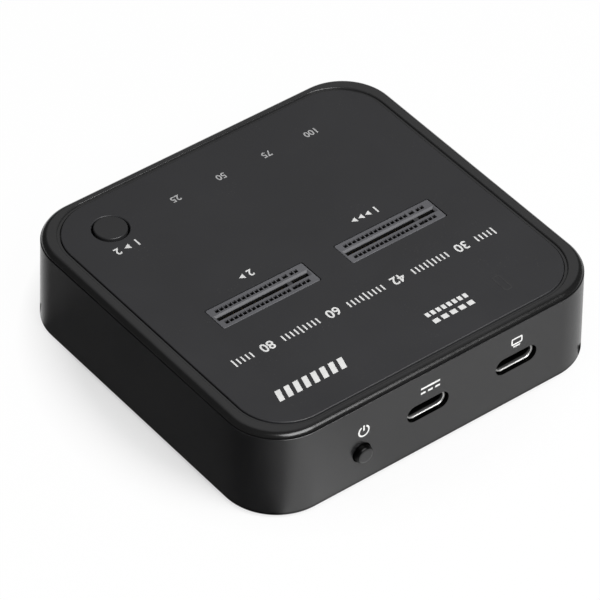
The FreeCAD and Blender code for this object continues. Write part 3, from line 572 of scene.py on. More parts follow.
# painted shade on the sides of the power button
paintShadeInOpeningsAndFoot(capBlack, turned=(0.72, 0.86))
# painted shade on the rounded outer edges of the cover
paintShadeOnOuterEdges(coverBlack, (0.007, 0.007, 0.007))
# painted shade deep in the socket slots
paintShadeInside(socketSheenGrey, "Z", panelZ, shade["socket"], (0.008, 0.008, 0.008))
# painted shade inside the port shells
paintShadeInside(portSteel, "Y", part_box("data_port_shell")[1].y, shade["shell"], (0.02, 0.02, 0.021))
finishes = {
    "case_plastic": caseBlack,
    "panel_plastic": panelBlack,
    "button_plastic": buttonBlack,
    "foot_rubber": footRubber,
    "socket_plastic": socketSheenGrey,
    "insulator_plastic": tongueBlack,
    "switch_plastic": switchBlack,
    "chip_resin": chipResin,
    "capacitor_ceramic": mouldedPlastic("capacitorTan", (0.3, 0.2, 0.12), (0.42, 0.3, 0.19), (0.4, 0.55)),
    "lamp_resin": mouldedPlastic("lampResin", (0.62, 0.6, 0.42), (0.78, 0.77, 0.62), (0.2, 0.3)),
    "port_steel": portSteel,
    "tinned_metal": drawnMetal("tinnedMetal", (0.58, 0.57, 0.55), (0.74, 0.73, 0.7), (0.3, 0.45)),
    "spring_steel": drawnMetal("springSteel", (0.45, 0.45, 0.46), (0.6, 0.6, 0.61), (0.2, 0.32)),
    "screw_steel": drawnMetal("blackenedSteel", (0.04, 0.04, 0.042), (0.075, 0.075, 0.078), (0.32, 0.48)),
    "gold_contact": drawnMetal("contactGold", (0.62, 0.4, 0.13), (0.8, 0.56, 0.22), (0.22, 0.35)),
    "can_aluminium": drawnMetal("canAluminium", (0.66, 0.67, 0.68), (0.8, 0.81, 0.82), (0.25, 0.38)),
    "board_laminate": boardLacquer("boardGreen"),
    "clear_guide": clearMoulding("guideClear", (0.82, 0.86, 0.9), 0.08),
}
inkWhite = printedInk("inkWhite", (0.72, 0.72, 0.71), (0.84, 0.84, 0.83))
inkGrey = printedInk("inkGrey", (0.42, 0.42, 0.42), (0.52, 0.52, 0.52))
inkFaint = printedInk("inkFaint", (0.03, 0.03, 0.031), (0.042, 0.042, 0.043))

slotOf = {part["node"]: part["material_slot"] for part in frame["record"]["subparts"]}
for name, node in frame["nodes"].items():
    node.data.materials.clear()
    node.data.materials.append(finishes[slotOf[name]])
print("materials set on", len(slotOf), "nodes")


# Side housing
case = inMetres({
    "width": 79.96, "depth": 76.1, "backShift": 0.15, "corner": 11.3, "cornerSteps": 22, "height": 19.3,
    "lean": 0.45, "baseRound": 0.4, "seamDrop": 1.05, "seamBevel": 0.03, "wall": 2.2, "ledge": 1.0,
    "roundSteps": 5, "floorTop": 1.8,
})
shell = inMetres({
    "width": 8.94, "height": 3.26, "wall": 0.3, "length": 7.35, "forward": 0.9, "lipOuter": 0.06,
    "endSteps": 12, "lipSteps": 3, "flareSteps": 6, "floorLength": 3.1, "floorWidth": 6.93,
    "legX": 4.32, "legWidth": 1.0, "legDrop": 3.25, "legAt": (-2.83, -6.05),
})
rearHoles = inMetres({
    "portX": (-17.85, 2.8), "portWidth": 9.6, "portHeight": 3.62, "edge": 0.12,
    "buttonX": 18.0, "buttonHeight": 7.7, "buttonDrop": 0.45, "buttonBore": 2.08, "buttonFacets": 48,
    "inside": 4.0, "reach": 0.4, "aboveFoot": 3.0,
})
layOver = (-math.pi / 2, 0, 0)  # modelled with its face up, then facing the rear

seamZ = rimZ - case["seamDrop"]
caseY = middleY + case["backShift"]
portWallY = caseY + case["depth"] / 2
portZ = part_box("data_port_insulator")[1].z - (shell["height"] / 2 - shell["wall"])
buttonZ = baseZ + rearHoles["buttonHeight"] - rearHoles["buttonDrop"]


def leanAt(z):
    return case["lean"] * (z - baseZ) / case["height"]


def startCaseOutline(name, z):
    inward = leanAt(z)
    return startPlate(name, case["width"] - 2 * inward, case["depth"] - 2 * inward, case["corner"] - inward,
                      0, caseY, z, case["cornerSteps"])


def rearCutters():
    deep, height = rearHoles["inside"], rearHoles["portHeight"]
    cutters = []
    for x in rearHoles["portX"]:
        cutter = plateSolid("portCutter", rearHoles["portWidth"], height, height / 2 - slack["straight"],
                            0, 0, -deep, deep / 2, shell["endSteps"])
        turnPiece(cutter, layOver, (x, portWallY, portZ))
        cutters.append(cutter)
    cutter = discSolid("buttonCutter", rearHoles["buttonBore"], 0, 0, -deep, deep / 2,
                       rearHoles["buttonFacets"])
    turnPiece(cutter, layOver, (rearHoles["buttonX"], portWallY, buttonZ))
    return cutters + [cutter]


def makeSideHousing():
    start = baseZ + case["baseRound"]
    piece = startCaseOutline("sideHousing", start)
    top = seamZ - case["seamBevel"]
    grow([(leanAt(top) - leanAt(start), top - start)])
    grow([(case["seamBevel"], case["seamBevel"])])
    inner = case["lean"] + case["wall"]
    grow([(inner - leanAt(top) - case["seamBevel"], 0)])
    floorZ = baseZ + case["floorTop"]
    grow([(0, floorZ - seamZ)])
    closeUnderside()
    grow(roundSteps(case["baseRound"], case["roundSteps"]), up=-1)
    grow([(inner - case["ledge"] - leanAt(start) - case["baseRound"], 0)])
    grow([(0, -case["floorTop"])], up=-1)
    grow([(case["ledge"], 0)])
    # the inside is open below: the bottom cover closes it
    same, close = slack["same"], slack["close"]
    pickFaces(lambda centre: abs(centre.z - floorZ) < same and abs(centre.x) < close)
    bpy.ops.mesh.delete(type="FACE")
    bpy.ops.mesh.select_all(action="SELECT")
    bpy.ops.mesh.remove_doubles(threshold=close)
    outwardNormals()
    combine(piece, rearCutters(), "DIFFERENCE")
    editPiece(piece)
    holes = [(x, rearHoles["portWidth"] / 2) for x in rearHoles["portX"]]
    holes.append((rearHoles["buttonX"], rearHoles["buttonBore"]))

    def onOuterMouth(a, b):
        middle = (a + b) / 2
        onWall = abs(middle.y - portWallY + leanAt(middle.z)) < close
        upHere = baseZ + rearHoles["aboveFoot"] < middle.z < seamZ - rearHoles["aboveFoot"]
        return onWall and upHere and any(abs(middle.x - x) < half + rearHoles["reach"] for x, half in holes)
    pickEdges(onOuterMouth)
    bevelEdges(rearHoles["edge"])
    finishPiece(piece, "case_plastic", "case", ["side_housing"])


# Top cover: rim, recess for the panel, lip that goes into the housing, screw posts
cover = inMetres({
    "rimRound": 1.4, "rimTurn": 64, "rimSteps": 8, "seamIn": 0.3, "rimWidth": 2.68, "endsOut": 0.8,
    "innerCorner": 10.4, "innerEdge": 0.25, "edgeSteps": 4,
    "plate": 1.4, "grooveDepth": 0.36, "hairline": 0.16,
    "fit": 0.1, "lip": 1.0, "lipDepth": 1.6, "boardTop": 8.62,
    "postRadius": 2.6, "postFacets": 40, "pilotRadius": 1.22, "pilotFacets": 32, "screwGrip": 5.5,
    "screwX": 32.2, "screwY": 19.0,
})
panel = inMetres({
    "groove": 0.65, "edgeRound": 0.22, "edgeSteps": 4, "mouthEdge": 0.08,
    "buttonEdge": 0.22, "buttonSteps": 3, "insideEdge": 2.2,
})
slots = inMetres({
    "x": (-14.8, 14.8), "y": 4.75, "length": 22.1, "width": 5.75, "round": 0.35, "roundSteps": 5,
    "gap": 0.15, "drop": 0.03,
})
copyButton = inMetres({
    "x": 26.1, "y": -26.6, "radius": 3.22, "facets": 80, "gap": 0.38, "holeFacets": 72,
    "round": 0.25, "roundSteps": 5, "flange": 0.8, "stem": 1.5, "under": 0.1,
})
guides = inMetres({
    "lampX": (-20.425, -9.775, 0.875, 11.525), "lampY": -26.1, "statusX": -22.2, "statusY": 27.8,
    "bore": 1.08, "facets": 32, "skin": 0.35,
})


def topCutters(low, high, guideHigh):
    # windows for the two sockets, the hole for the button, and a bore for each light guide
    length, width = slots["length"] + 2 * slots["gap"], slots["width"] + 2 * slots["gap"]
    cutters = [
        plateSolid("windowCutter", length, width, slots["round"], x, middleY + slots["y"], low, high,
                   slots["roundSteps"])
        for x in slots["x"]
    ]
    cutters.append(discSolid("copyCutter", copyButton["radius"] + copyButton["gap"], copyButton["x"],
                             middleY + copyButton["y"], low, high, copyButton["holeFacets"]))
    places = [(x, guides["lampY"]) for x in guides["lampX"]] + [(guides["statusX"], guides["statusY"])]
    for x, y in places:
        bore = discSolid("guideCutter", guides["bore"], x, middleY + y, low, guideHigh, guides["facets"])
        cutters.append(bore)
    return cutters


def recessOutline(inward):
    # the recess in the rim, which is narrower at the rear and at the front than at the sides
    inset = 2 * (case["lean"] + cover["rimWidth"] + inward)
    depth = case["depth"] - inset + 2 * cover["endsOut"]
    return case["width"] - inset, depth, cover["innerCorner"] - inward


def onRecessEdge(a, b):
    width, depth, corner = recessOutline(0)

    def onEdge(place):
        x, y = abs(place.x) - width / 2 + corner, abs(place.y - caseY) - depth / 2 + corner
        offEdge = math.hypot(max(x, 0), max(y, 0)) + min(max(x, y), 0) - corner
        return abs(place.z - rimZ) < slack["same"] and abs(offEdge) < slack["close"]
    return onEdge(a) and onEdge(b)


def makeTopCover():
    # its rounded edge is cut off by the seam before it turns upright
    turn = math.radians(cover["rimTurn"])
    outerIn = case["lean"] + cover["rimRound"] * (1 - math.sin(turn))
    start = rimZ - cover["rimRound"] * (1 - math.cos(turn))
    piece = startPlate("topCover", case["width"] - 2 * outerIn, case["depth"] - 2 * outerIn,
                       case["corner"] - outerIn, 0, caseY, start, case["cornerSteps"])
    grow(roundSteps(cover["rimRound"], cover["rimSteps"], cover["rimTurn"]))
    closeUnderside()
    grow([(cover["seamIn"], 0)])
    grow([(0, start - seamZ)], up=-1)
    grow([(case["lean"] + case["wall"] + cover["fit"] - outerIn - cover["seamIn"], 0)])
    plateZ = recessZ - cover["plate"]
    lipZ = plateZ - cover["lipDepth"]
    grow([(0, seamZ - lipZ)], up=-1)
    grow([(cover["lip"], 0)])
    grow([(0, -cover["lipDepth"])], up=-1)
    outwardNormals()
    places = [(x * cover["screwX"], middleY + y * cover["screwY"]) for x in (-1, 1) for y in (-1, 1)]
    foot, past = cover["boardTop"], slack["past"]
    postTop = plateZ + cover["plate"] / 2
    posts = [
        discSolid("post", cover["postRadius"], x, y, foot, postTop, cover["postFacets"])
        for x, y in places
    ]
    combine(piece, posts, "UNION")
    pilots = [
        discSolid("pilot", cover["pilotRadius"], x, y, foot - past, foot + cover["screwGrip"] + past,
                  cover["pilotFacets"])
        for x, y in places
    ]
    combine(piece, pilots, "DIFFERENCE")
    # the groove is shallow, and the seat of the panel lies deeper
    groove, seat = (0, rimZ - cover["grooveDepth"]), (panel["groove"] - cover["hairline"], recessZ)
    for inward, low in (groove, seat):
        width, depth, corner = recessOutline(inward)
        cutter = plateSolid("recess", width, depth, corner, 0, caseY, low, rimZ + past, case["cornerSteps"])
        combine(piece, [cutter], "DIFFERENCE")
    editPiece(piece)
    pickEdges(onRecessEdge)
    bevelEdges(cover["innerEdge"], cover["edgeSteps"])
    combine(piece, topCutters(plateZ - past, rimZ, rimZ), "DIFFERENCE")
    finishPiece(piece, "case_plastic", "case", ["top_cover"], coverBlack)


def makeTopPanel():
    width, depth, corner = recessOutline(panel["groove"])
    piece = startPlate("topPanel", width, depth, corner, 0, caseY, recessZ, case["cornerSteps"])
    grow([(0, panelZ - recessZ - panel["edgeRound"])])
    grow(roundSteps(panel["edgeRound"], panel["edgeSteps"]))
    closeUnderside()
    outwardNormals()
    past = slack["past"]
    combine(piece, topCutters(recessZ - past, rimZ + past, panelZ - guides["skin"]), "DIFFERENCE")
    editPiece(piece)

    def onMouth(a, b):
        top = abs(a.z - panelZ) < slack["same"] and abs(b.z - panelZ) < slack["same"]
        inX = max(abs(a.x), abs(b.x)) < width / 2 - panel["insideEdge"]
        inY = max(abs(a.y - middleY), abs(b.y - middleY)) < depth / 2 - panel["insideEdge"]
        return top and inX and inY

    def onButtonMouth(a, b):
        middle = (a + b) / 2 - Vector((copyButton["x"], middleY + copyButton["y"], panelZ))
        return onMouth(a, b) and middle.length < copyButton["radius"] + 2 * copyButton["gap"]
    pickEdges(lambda a, b: onMouth(a, b) and not onButtonMouth(a, b))
    bevelEdges(panel["mouthEdge"])
    pickEdges(onButtonMouth)
    bevelEdges(panel["buttonEdge"], panel["buttonSteps"])
    finishPiece(piece, "panel_plastic", "case", ["top_panel"])


# Card sockets, modelled once. A row is its side, the place of its first pocket, and its count
socket = inMetres({
    "edge": 0.12, "edgeSteps": 3, "channel": 0.25, "channelLength": 19.5,
    "pegRadius": 0.6, "pegFacets": 24, "pegX": 10.2, "pegDrop": 1.25,
    "cardLength": 20.6, "cardWidth": 0.8, "cardReach": 5.5, "leadIn": 0.4, "keyX": -6.125, "keyRib": 1.0,
    "pitch": 1.0, "cellWidth": 0.82, "keyCell": 1.15, "cellInner": 1.22, "cellOuter": 2.17,
    "barStart": 0.2, "barDepth": 1.0, "barReach": 5.39,
    "rows": ((1, -9.0, 3), (1, -6.0, 1), (1, -4.5, 15), (-1, -8.75, 2), (-1, -6.25, 1), (-1, -4.75, 15)),
})


def cellCutter(row, near, far, low, high):
    # a run of equal pockets, each for two contacts: one block, repeated; the one beside the key is wider
    side, firstX, count = row
    cellWidth = socket["keyCell"] if count == 1 else socket["cellWidth"]
    cutter = plateSolid("cellCutter", cellWidth, far - near, 0, firstX, side * (near + far) / 2, low, high)
    applyModifier(cutter, "ARRAY", count=count, use_relative_offset=False, use_constant_offset=True,
                  constant_offset_displace=(socket["pitch"], 0, 0))
    return cutter


def makeSockets():
    top, foot = panelZ - slots["drop"], cover["boardTop"]
    piece = startPlate("sourceSlotSocket", slots["length"], slots["width"], slots["round"], 0, 0, foot,
                       slots["roundSteps"])
    grow([(0, top - foot - socket["edge"])])
    grow(roundSteps(socket["edge"], socket["edgeSteps"]))
    closeUnderside()
    outwardNormals()
    pegs = [
        discSolid("peg", socket["pegRadius"], side * socket["pegX"], 0, foot - socket["pegDrop"],
                  foot + socket["channel"], socket["pegFacets"])
        for side in (-1, 1)
    ]
    combine(piece, pegs, "UNION")
    past = slack["past"]
    length, width, lead = socket["cardLength"], socket["cardWidth"], socket["leadIn"]
    mouth = startPlate("leadIn", length + 2 * (lead + past), width + 2 * (lead + past), 0, 0, 0, top + past)
    grow([(lead + past, -lead - past)])
    closeUnderside()
    outwardNormals()
    channel = plateSolid("channel", socket["channelLength"], slots["width"] + past, 0, 0, 0,
                         foot - past, foot + socket["channel"])
    cutters = [channel, mouth]
    ribLow, ribHigh = socket["keyX"] - socket["keyRib"] / 2, socket["keyX"] + socket["keyRib"] / 2
    for left, right in ((-length / 2, ribLow), (ribHigh, length / 2)):
        cutters.append(plateSolid("card", right - left, width, 0, (left + right) / 2, 0,
                                  top - socket["cardReach"], top - lead / 2))
    inner, outer = socket["cellInner"], socket["cellOuter"]
    for row in socket["rows"]:
        cutters.append(cellCutter(row, inner, outer, foot - past, top + past))
        # below the top, each pocket opens into the slot of the card
        cutters.append(cellCutter(row, socket["barStart"], (inner + outer) / 2,
                                  top - socket["barReach"], top - socket["barDepth"]))
    combine(piece, cutters, "DIFFERENCE")
    turnPiece(piece, (0, 0, 0), (slots["x"][0], middleY + slots["y"], 0))
    twin = copyPiece(piece, "targetSlotSocket", (slots["x"][1] - slots["x"][0], 0, 0))
    finishPiece(piece, "socket_plastic", "case", ["source_slot_socket"])
    finishPiece(twin, "socket_plastic", "case", ["target_slot_socket"])


# Port shells, modelled once: drawn tube with a rolled lip, open at the back
def makePortShells():
    height, back, lip, tip = shell["height"], shell["length"], shell["lipOuter"], shell["forward"]
    flare, corner = shell["wall"] - lip, height / 2 - slack["straight"]
    piece = startPlate("dataPortShell", shell["width"], height, corner, 0, 0, -back, shell["endSteps"])
    grow([(0, back + tip - lip)])
    grow(roundSteps(lip, shell["lipSteps"]) + hollowSteps(flare, shell["flareSteps"]))
    grow([(0, flare - tip - back)])
    bpy.ops.mesh.delete(type="FACE")
    pickRims()
    bpy.ops.mesh.bridge_edge_loops()
    outwardNormals()
    floor = plateSolid("openFloor", shell["floorWidth"], height / 2, 0, 0, height / 2,
                       -back - slack["past"], shell["floorLength"] - back)
    combine(piece, [floor], "DIFFERENCE")
    drop, halfLeg = shell["legDrop"], shell["legWidth"] / 2
    legs = [
        plateSolid("leg", shell["wall"], drop, 0, side * shell["legX"], drop / 2,
                   at - halfLeg, at + halfLeg)
        for side in (-1, 1) for at in shell["legAt"]
    ]
    combine(piece, legs, "UNION")
    turnPiece(piece, layOver, (rearHoles["portX"][0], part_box("data_port_shell")[1].y, portZ))
    twin = copyPiece(piece, "powerInletShell", (rearHoles["portX"][1] - rearHoles["portX"][0], 0, 0))
    finishPiece(piece, "port_steel", "case", ["data_port_shell"])
    finishPiece(twin, "port_steel", "case", ["power_inlet_shell"])


# Buttons, each with a flange that keeps it behind its hole
def makeCopyButton():
    low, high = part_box("copy_button_cap")
    flange, radius = copyButton["flange"], copyButton["radius"]
    flangeLow = recessZ - cover["plate"] - copyButton["under"] - flange
    x, y = copyButton["x"], middleY + copyButton["y"]
    piece = startDisc("copyButtonCap", radius + flange, x, y, flangeLow, copyButton["facets"])
    grow([(0, flange), (flange, 0)])
    grow([(0, high.z - copyButton["round"] - flangeLow - flange)])
    grow(roundSteps(copyButton["round"], copyButton["roundSteps"]))
    closeUnderside()
    grow([(radius + flange - copyButton["stem"], 0)])
    grow([(0, flangeLow - low.z)], up=-1)
    outwardNormals()
    finishPiece(piece, "button_plastic", "copy_button", ["copy_button_cap"])


powerButton = inMetres({
    "radius": 1.86, "facets": 72, "round": 0.75, "roundSteps": 5,
    "flange": 0.9, "tail": 1.3, "grip": 1.2, "gripWidth": 2.26,
})


def makePowerButton():
    low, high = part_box("power_button_cap")
    flange, tail, width = powerButton["flange"], powerButton["tail"], powerButton["gripWidth"]
    flangeBack = low.y + tail
    piece = startDisc("powerButtonCap", powerButton["radius"] + flange, 0, 0, 0, powerButton["facets"])
    grow([(0, flange), (flange, 0)])
    grow([(0, high.y - flangeBack - flange - powerButton["round"])])
    grow(roundSteps(powerButton["round"], powerButton["roundSteps"]))
    closeUnderside()
    grow([(flange, 0)])
    grow([(0, tail)], up=-1)
    outwardNormals()
    # the switch sits a little above the middle of the cap
    grip = plateSolid("sliderGrip", width, width, 0, 0, -rearHoles["buttonDrop"],
                      -tail - slack["past"], -tail + powerButton["grip"])
    combine(piece, [grip], "DIFFERENCE")
    turnPiece(piece, layOver, (rearHoles["buttonX"], flangeBack, buttonZ))
    finishPiece(piece, "button_plastic", "power_button", ["power_button_cap"], capBlack)


# Springs inside the two switches
springs = inMetres({
    "coilRadius": 1.1, "wireRadius": 0.15, "wireFacets": 12, "turns": 5, "stepsPerTurn": 24,
    "powerTravel": 1.2, "copyTravel": 0.25, "plungerGap": 0.05,
    "domeThickness": 0.1, "domeCrown": 0.2, "domeSteps": 8, "domeFacets": 48,
})


def makePowerSpring():
    low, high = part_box("power_switch_spring")
    length = high.y - low.y
    piece = startDisc("powerSwitchSpring", springs["wireRadius"], springs["coilRadius"], 0, 0,
                      springs["wireFacets"])
    bpy.ops.mesh.delete(type="ONLY_FACE")
    pitch = (length - 2 * springs["wireRadius"]) / springs["turns"]
    applyModifier(piece, "SCREW", axis="Y", angle=2 * math.pi, screw_offset=pitch,
                  iterations=springs["turns"], steps=springs["stepsPerTurn"], use_smooth_shade=False)
    editPiece(piece)
    pickAll("FACE")
    bpy.ops.mesh.remove_doubles(threshold=2 * slack["same"])
    pickRims()
    bpy.ops.mesh.edge_face_add()
    outwardNormals()
    middle = (low + high) / 2
    turnPiece(piece, (0, 0, 0), (middle.x, low.y + springs["wireRadius"], middle.z))
    finishPiece(piece, "spring_steel", "case", ["power_switch_spring"])
    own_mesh(piece)


def makeCopyDome():
    low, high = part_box("copy_switch_dome")
    middle = (low + high) / 2
    radius, height = (high.x - low.x) / 2, high.z - low.z
    piece = startDisc("copySwitchDome", radius, middle.x, middle.y, low.z, springs["domeFacets"])
    crown = radius - springs["domeCrown"]
    rise = height - springs["domeThickness"]
    count = springs["domeSteps"]
    heights = [1 - (1 - i / count) ** 2 for i in range(count + 1)]
    steps = [(crown / count, rise * (after - before)) for before, after in zip(heights, heights[1:])]
    grow([(0, springs["domeThickness"] / 2)])
    grow(steps)
    grow([(0, springs["domeThickness"] / 2)])
    closeUnderside()
    grow([(inward, -along) for inward, along in steps])
    outwardNormals()
    finishPiece(piece, "spring_steel", "case", ["copy_switch_dome"])
    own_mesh(piece)


# Rubber feet, alike
foot = inMetres({
    "radius": 4.0, "facets": 56, "round": 0.35, "roundSteps": 5,
    "ringIn": 0.9, "ringWidth": 0.35, "ringSide": 0.105, "ringDepth": 0.12,
})


def makeFeet():
    names = ["front_left", "front_right", "rear_left", "rear_right"]
    low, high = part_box("rubber_foot_front_left")
    middle = (low + high) / 2
    piece = startDisc("rubberFootFrontLeft", foot["radius"], 0, 0, 0, foot["facets"])
    grow([(0, high.z - low.z - foot["round"])])
    grow(roundSteps(foot["round"], foot["roundSteps"]))
    grow([(foot["ringIn"], 0), (foot["ringSide"], -foot["ringDepth"]), (foot["ringWidth"], 0),
          (foot["ringSide"], foot["ringDepth"])])
    closeUnderside()
    outwardNormals()
    turnPiece(piece, (math.pi, 0, 0), (middle.x, middle.y, high.z))
    feet = [piece]
    for name in names[1:]:
        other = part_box("rubber_foot_" + name)
        shift = (other[0] + other[1]) / 2 - middle
        title = "".join(word.capitalize() for word in name.split("_"))
        feet.append(copyPiece(piece, "rubberFoot" + title, shift))
    for one, name in zip(feet, names):
        finishPiece(one, "foot_rubber", "case", ["rubber_foot_" + name])


# Prints: plain numbers, arrows, tick marks and signs
ink = inMetres({
    "thickness": 0.02, "lightStroke": 0.03, "boldStroke": 0.05, "curveSteps": 4, "ringFacets": 40,
})
fontSize = 1.42  # for numbers that are 1 high
arrowReach = 0.6  # from the middle to a corner of an arrow of size 1
powerSign = {"gap": 0.42, "barHeight": 0.95, "barUp": 0.55}  # in radii of the ring


def printFace(piece):
    # gives a flat shape the thickness of a print
    editPiece(piece)
    pickAll("FACE")
    bpy.ops.mesh.extrude_region_move(TRANSFORM_OT_translate={"value": (0, 0, ink["thickness"])})
    outwardNormals()
    objectMode()
    return piece


def numberPrint(text, height, x, y, stroke=ink["boldStroke"]):
    selectNothing()
    bpy.ops.object.text_add(location=(0, 0, 0))
    letters = bpy.context.object.data
    letters.body = text
    letters.size = height * fontSize
    letters.align_x = "CENTER"
    letters.offset = stroke
    letters.resolution_u = ink["curveSteps"]
    bpy.ops.object.convert(target="MESH")
    piece = bpy.context.object
    bpy.ops.object.mode_set(mode="EDIT")
    bpy.ops.mesh.select_all(action="SELECT")
    bpy.ops.mesh.remove_doubles(threshold=5 * slack["same"])
    printFace(piece)
    turnPiece(piece, (0, 0, 0), (x, y - height / 2, 0))
    return piece


def barPrint(width, height, x, y, slant=0.0):
    piece = startPlate("bar", width, height, 0, x, y, 0)
    if slant:
        bpy.ops.mesh.select_all(action="DESELECT")
        mesh = bmesh.from_edit_mesh(piece.data)
        bpy.ops.mesh.select_mode(type="VERT")
        for corner in mesh.verts:
            corner.select_set(corner.co.y > y)
        bmesh.update_edit_mesh(piece.data)
        bpy.ops.transform.translate(value=(slant, 0, 0))
    objectMode()
    return printFace(piece)


def arrowPrint(size, x, y):
    piece = startDisc("arrow", size * arrowReach, 0, 0, 0, 3)
    objectMode()
    turnPiece(piece, (0, 0, -math.pi / 2), (x, y, 0))
    return printFace(piece)


def framePrint(width, height, line, radius, x, y):
    piece = startPlate("outline", width, height, radius, x, y, 0, ink["curveSteps"])
    bpy.ops.mesh.inset(thickness=line, depth=0)
    bpy.ops.mesh.delete(type="FACE")
    objectMode()
    return printFace(piece)


def powerSignPrint(radius, line, x, y):
    ring = startDisc("powerSign", radius, x, y, 0, ink["ringFacets"])
    bpy.ops.mesh.inset(thickness=line, depth=0)
    bpy.ops.mesh.delete(type="FACE")
    pickFaces(lambda centre: centre.y > y and abs(centre.x - x) < radius * powerSign["gap"])
    bpy.ops.mesh.delete(type="FACE")
    objectMode()
    bar = barPrint(line, radius * powerSign["barHeight"], x, y + radius * powerSign["barUp"])
    return [printFace(ring), bar]


def joinPrints(pieces, name):
    selectOnly(*pieces)
    bpy.ops.object.join()
    joined = bpy.context.object
    joined.name = name
    return joined


topMarks = inMetres({
    "progress": (("100", -20.4), ("75", -9.8), ("50", 0.9), ("25", 11.5)),
    "progressY": -26.1, "progressHeight": 1.5,
    "scaleY": 16.1, "scaleX": (-30.0, 30.0), "scaleNumberHeight": 2.1,
    "tickHeight": 1.5, "tallTick": 2.025, "tickWidth": 0.32, "tickPitch": 0.98, "ticksAside": 4,
    "barX": (13.4, 29.4), "barY": 27.5, "barHeight": 2.7, "barCount": 8, "barSlant": 0.8, "barWidth": 1.15,
    "dashX": (-15.1, -5.1), "dashHeight": 1.1, "dashRows": ((5, 1.32, 28.9), (8, 0.825, 26.8)),
    "slotNumbers": (("1", -14.0, 3), ("2", 13.7, 1)), "slotY": -1.5, "slotHeight": 1.7,
    "arrow": 1.275, "arrowShift": 0.8, "firstArrow": 1.8, "arrowPitch": 1.6,
    "copyX": 26.6, "copyY": -20.6, "copyHeight": 1.7, "copySpread": 2.2,
    "copyArrow": 1.36, "copyArrowShift": -0.1,
    "window": (1.8, 4.4), "windowLine": 0.3, "windowRound": 0.6, "windowAt": (-22.1, 28.2), "lift": 0.002,
})


def spread(ends, count, share=0.5):
    # the places of so many marks between two ends
    step = (ends[1] - ends[0]) / count
    return [ends[0] + step * (i + share) for i in range(count)]


def makeTopPrints():
    m = topMarks
    grey = [
        numberPrint(text, m["progressHeight"], x, m["progressY"], ink["lightStroke"])
        for text, x in m["progress"]
    ]
    # a scale of drive lengths, with tick marks between its numbers
    left, right = m["scaleX"]
    numbers = ("30", "42", "60", "80")
    white = [
        numberPrint(text, m["scaleNumberHeight"], x, m["scaleY"])
        for text, x in zip(numbers, spread(m["scaleX"], len(numbers)))
    ]
    for centre in spread(m["scaleX"], len(numbers), share=0) + [right]:
        for k in range(-m["ticksAside"], m["ticksAside"] + 1):
            x = centre + k * m["tickPitch"]
            if left - slack["same"] <= x <= right + slack["same"]:
                height = m["tickHeight"] if k else m["tallTick"]
                white.append(barPrint(m["tickWidth"], height, x, m["scaleY"]))
    # a row of slanted bars, and two rows of dashes
    for x in spread(m["barX"], m["barCount"], share=0.4):
        white.append(barPrint(m["barWidth"], m["barHeight"], x, m["barY"], m["barSlant"]))
    for count, width, y in m["dashRows"]:
        white += [barPrint(width, m["dashHeight"], x, y) for x in spread(m["dashX"], count)]
    # slot numbers, and the direction of the copy
    for text, x, arrows in m["slotNumbers"]:
        start = x - m["arrowShift"] * arrows
        white.append(numberPrint(text, m["slotHeight"], start, m["slotY"]))
        for k in range(arrows):
            white.append(arrowPrint(m["arrow"], start + m["firstArrow"] + k * m["arrowPitch"], m["slotY"]))
    for text, side in (("1", -1), ("2", 1)):
        white.append(numberPrint(text, m["copyHeight"], m["copyX"] + side * m["copySpread"], m["copyY"]))
    white.append(arrowPrint(m["copyArrow"], m["copyX"] + m["copyArrowShift"], m["copyY"]))
    faint = [framePrint(*m["window"], m["windowLine"], m["windowRound"], *m["windowAt"])]
    for pieces, name, material in ((grey, "progressNumbers", inkGrey), (white, "topMarks", inkWhite),
                                   (faint, "lampWindow", inkFaint)):
        piece = joinPrints(pieces, name)
        turnPiece(piece, (0, 0, 0), (0, middleY, panelZ + m["lift"]))
        finishPiece(piece, "panel_plastic", "case", material=material)


rearMarks = inMetres({
    "powerX": 17.6, "powerHeight": 12.2, "powerRadius": 1.3, "line": 0.34,
    "inletX": 2.4, "inletHeight": 14.3, "inletBar": (4.4, 0.42), "barAbove": 0.6,
    "inletDash": (1.1, 0.42), "dashBelow": 0.5, "dashPitch": 1.65,
    "computerX": -17.8, "computerHeight": 14.2,
    "screen": (2.6, 1.6), "screenLine": 0.32, "screenRound": 0.3, "screenAbove": 0.3,
    "stand": (1.6, 0.34), "standBelow": 0.9, "lift": 0.003,
})


def makeRearPrints():
    # drawn flat as seen from behind, with x to the left, and stood on the leaning wall
    m = rearMarks
    marks = powerSignPrint(m["powerRadius"], m["line"], -m["powerX"], m["powerHeight"])
    x, y = -m["inletX"], m["inletHeight"]
    marks.append(barPrint(*m["inletBar"], x, y + m["barAbove"]))
    marks += [barPrint(*m["inletDash"], x + k * m["dashPitch"], y - m["dashBelow"]) for k in (-1, 0, 1)]
    x, y = -m["computerX"], m["computerHeight"]
    marks.append(framePrint(*m["screen"], m["screenLine"], m["screenRound"], x, y + m["screenAbove"]))
    marks.append(barPrint(*m["stand"], x, y - m["standBelow"]))
    piece = joinPrints(marks, "rearMarks")
    tilt = math.atan2(case["lean"], case["height"])
    turnPiece(piece, (math.pi / 2 - tilt, 0, math.pi), (0, portWallY + m["lift"], baseZ))
    finishPiece(piece, "case_plastic", "case", material=inkWhite)


makeSideHousing()
makeTopCover()
makeTopPanel()
makeSockets()
makePortShells()
makeCopyButton()
makePowerButton()
makePowerSpring()
makeCopyDome()
makeFeet()
makeTopPrints()
makeRearPrints()
print("pieces made")

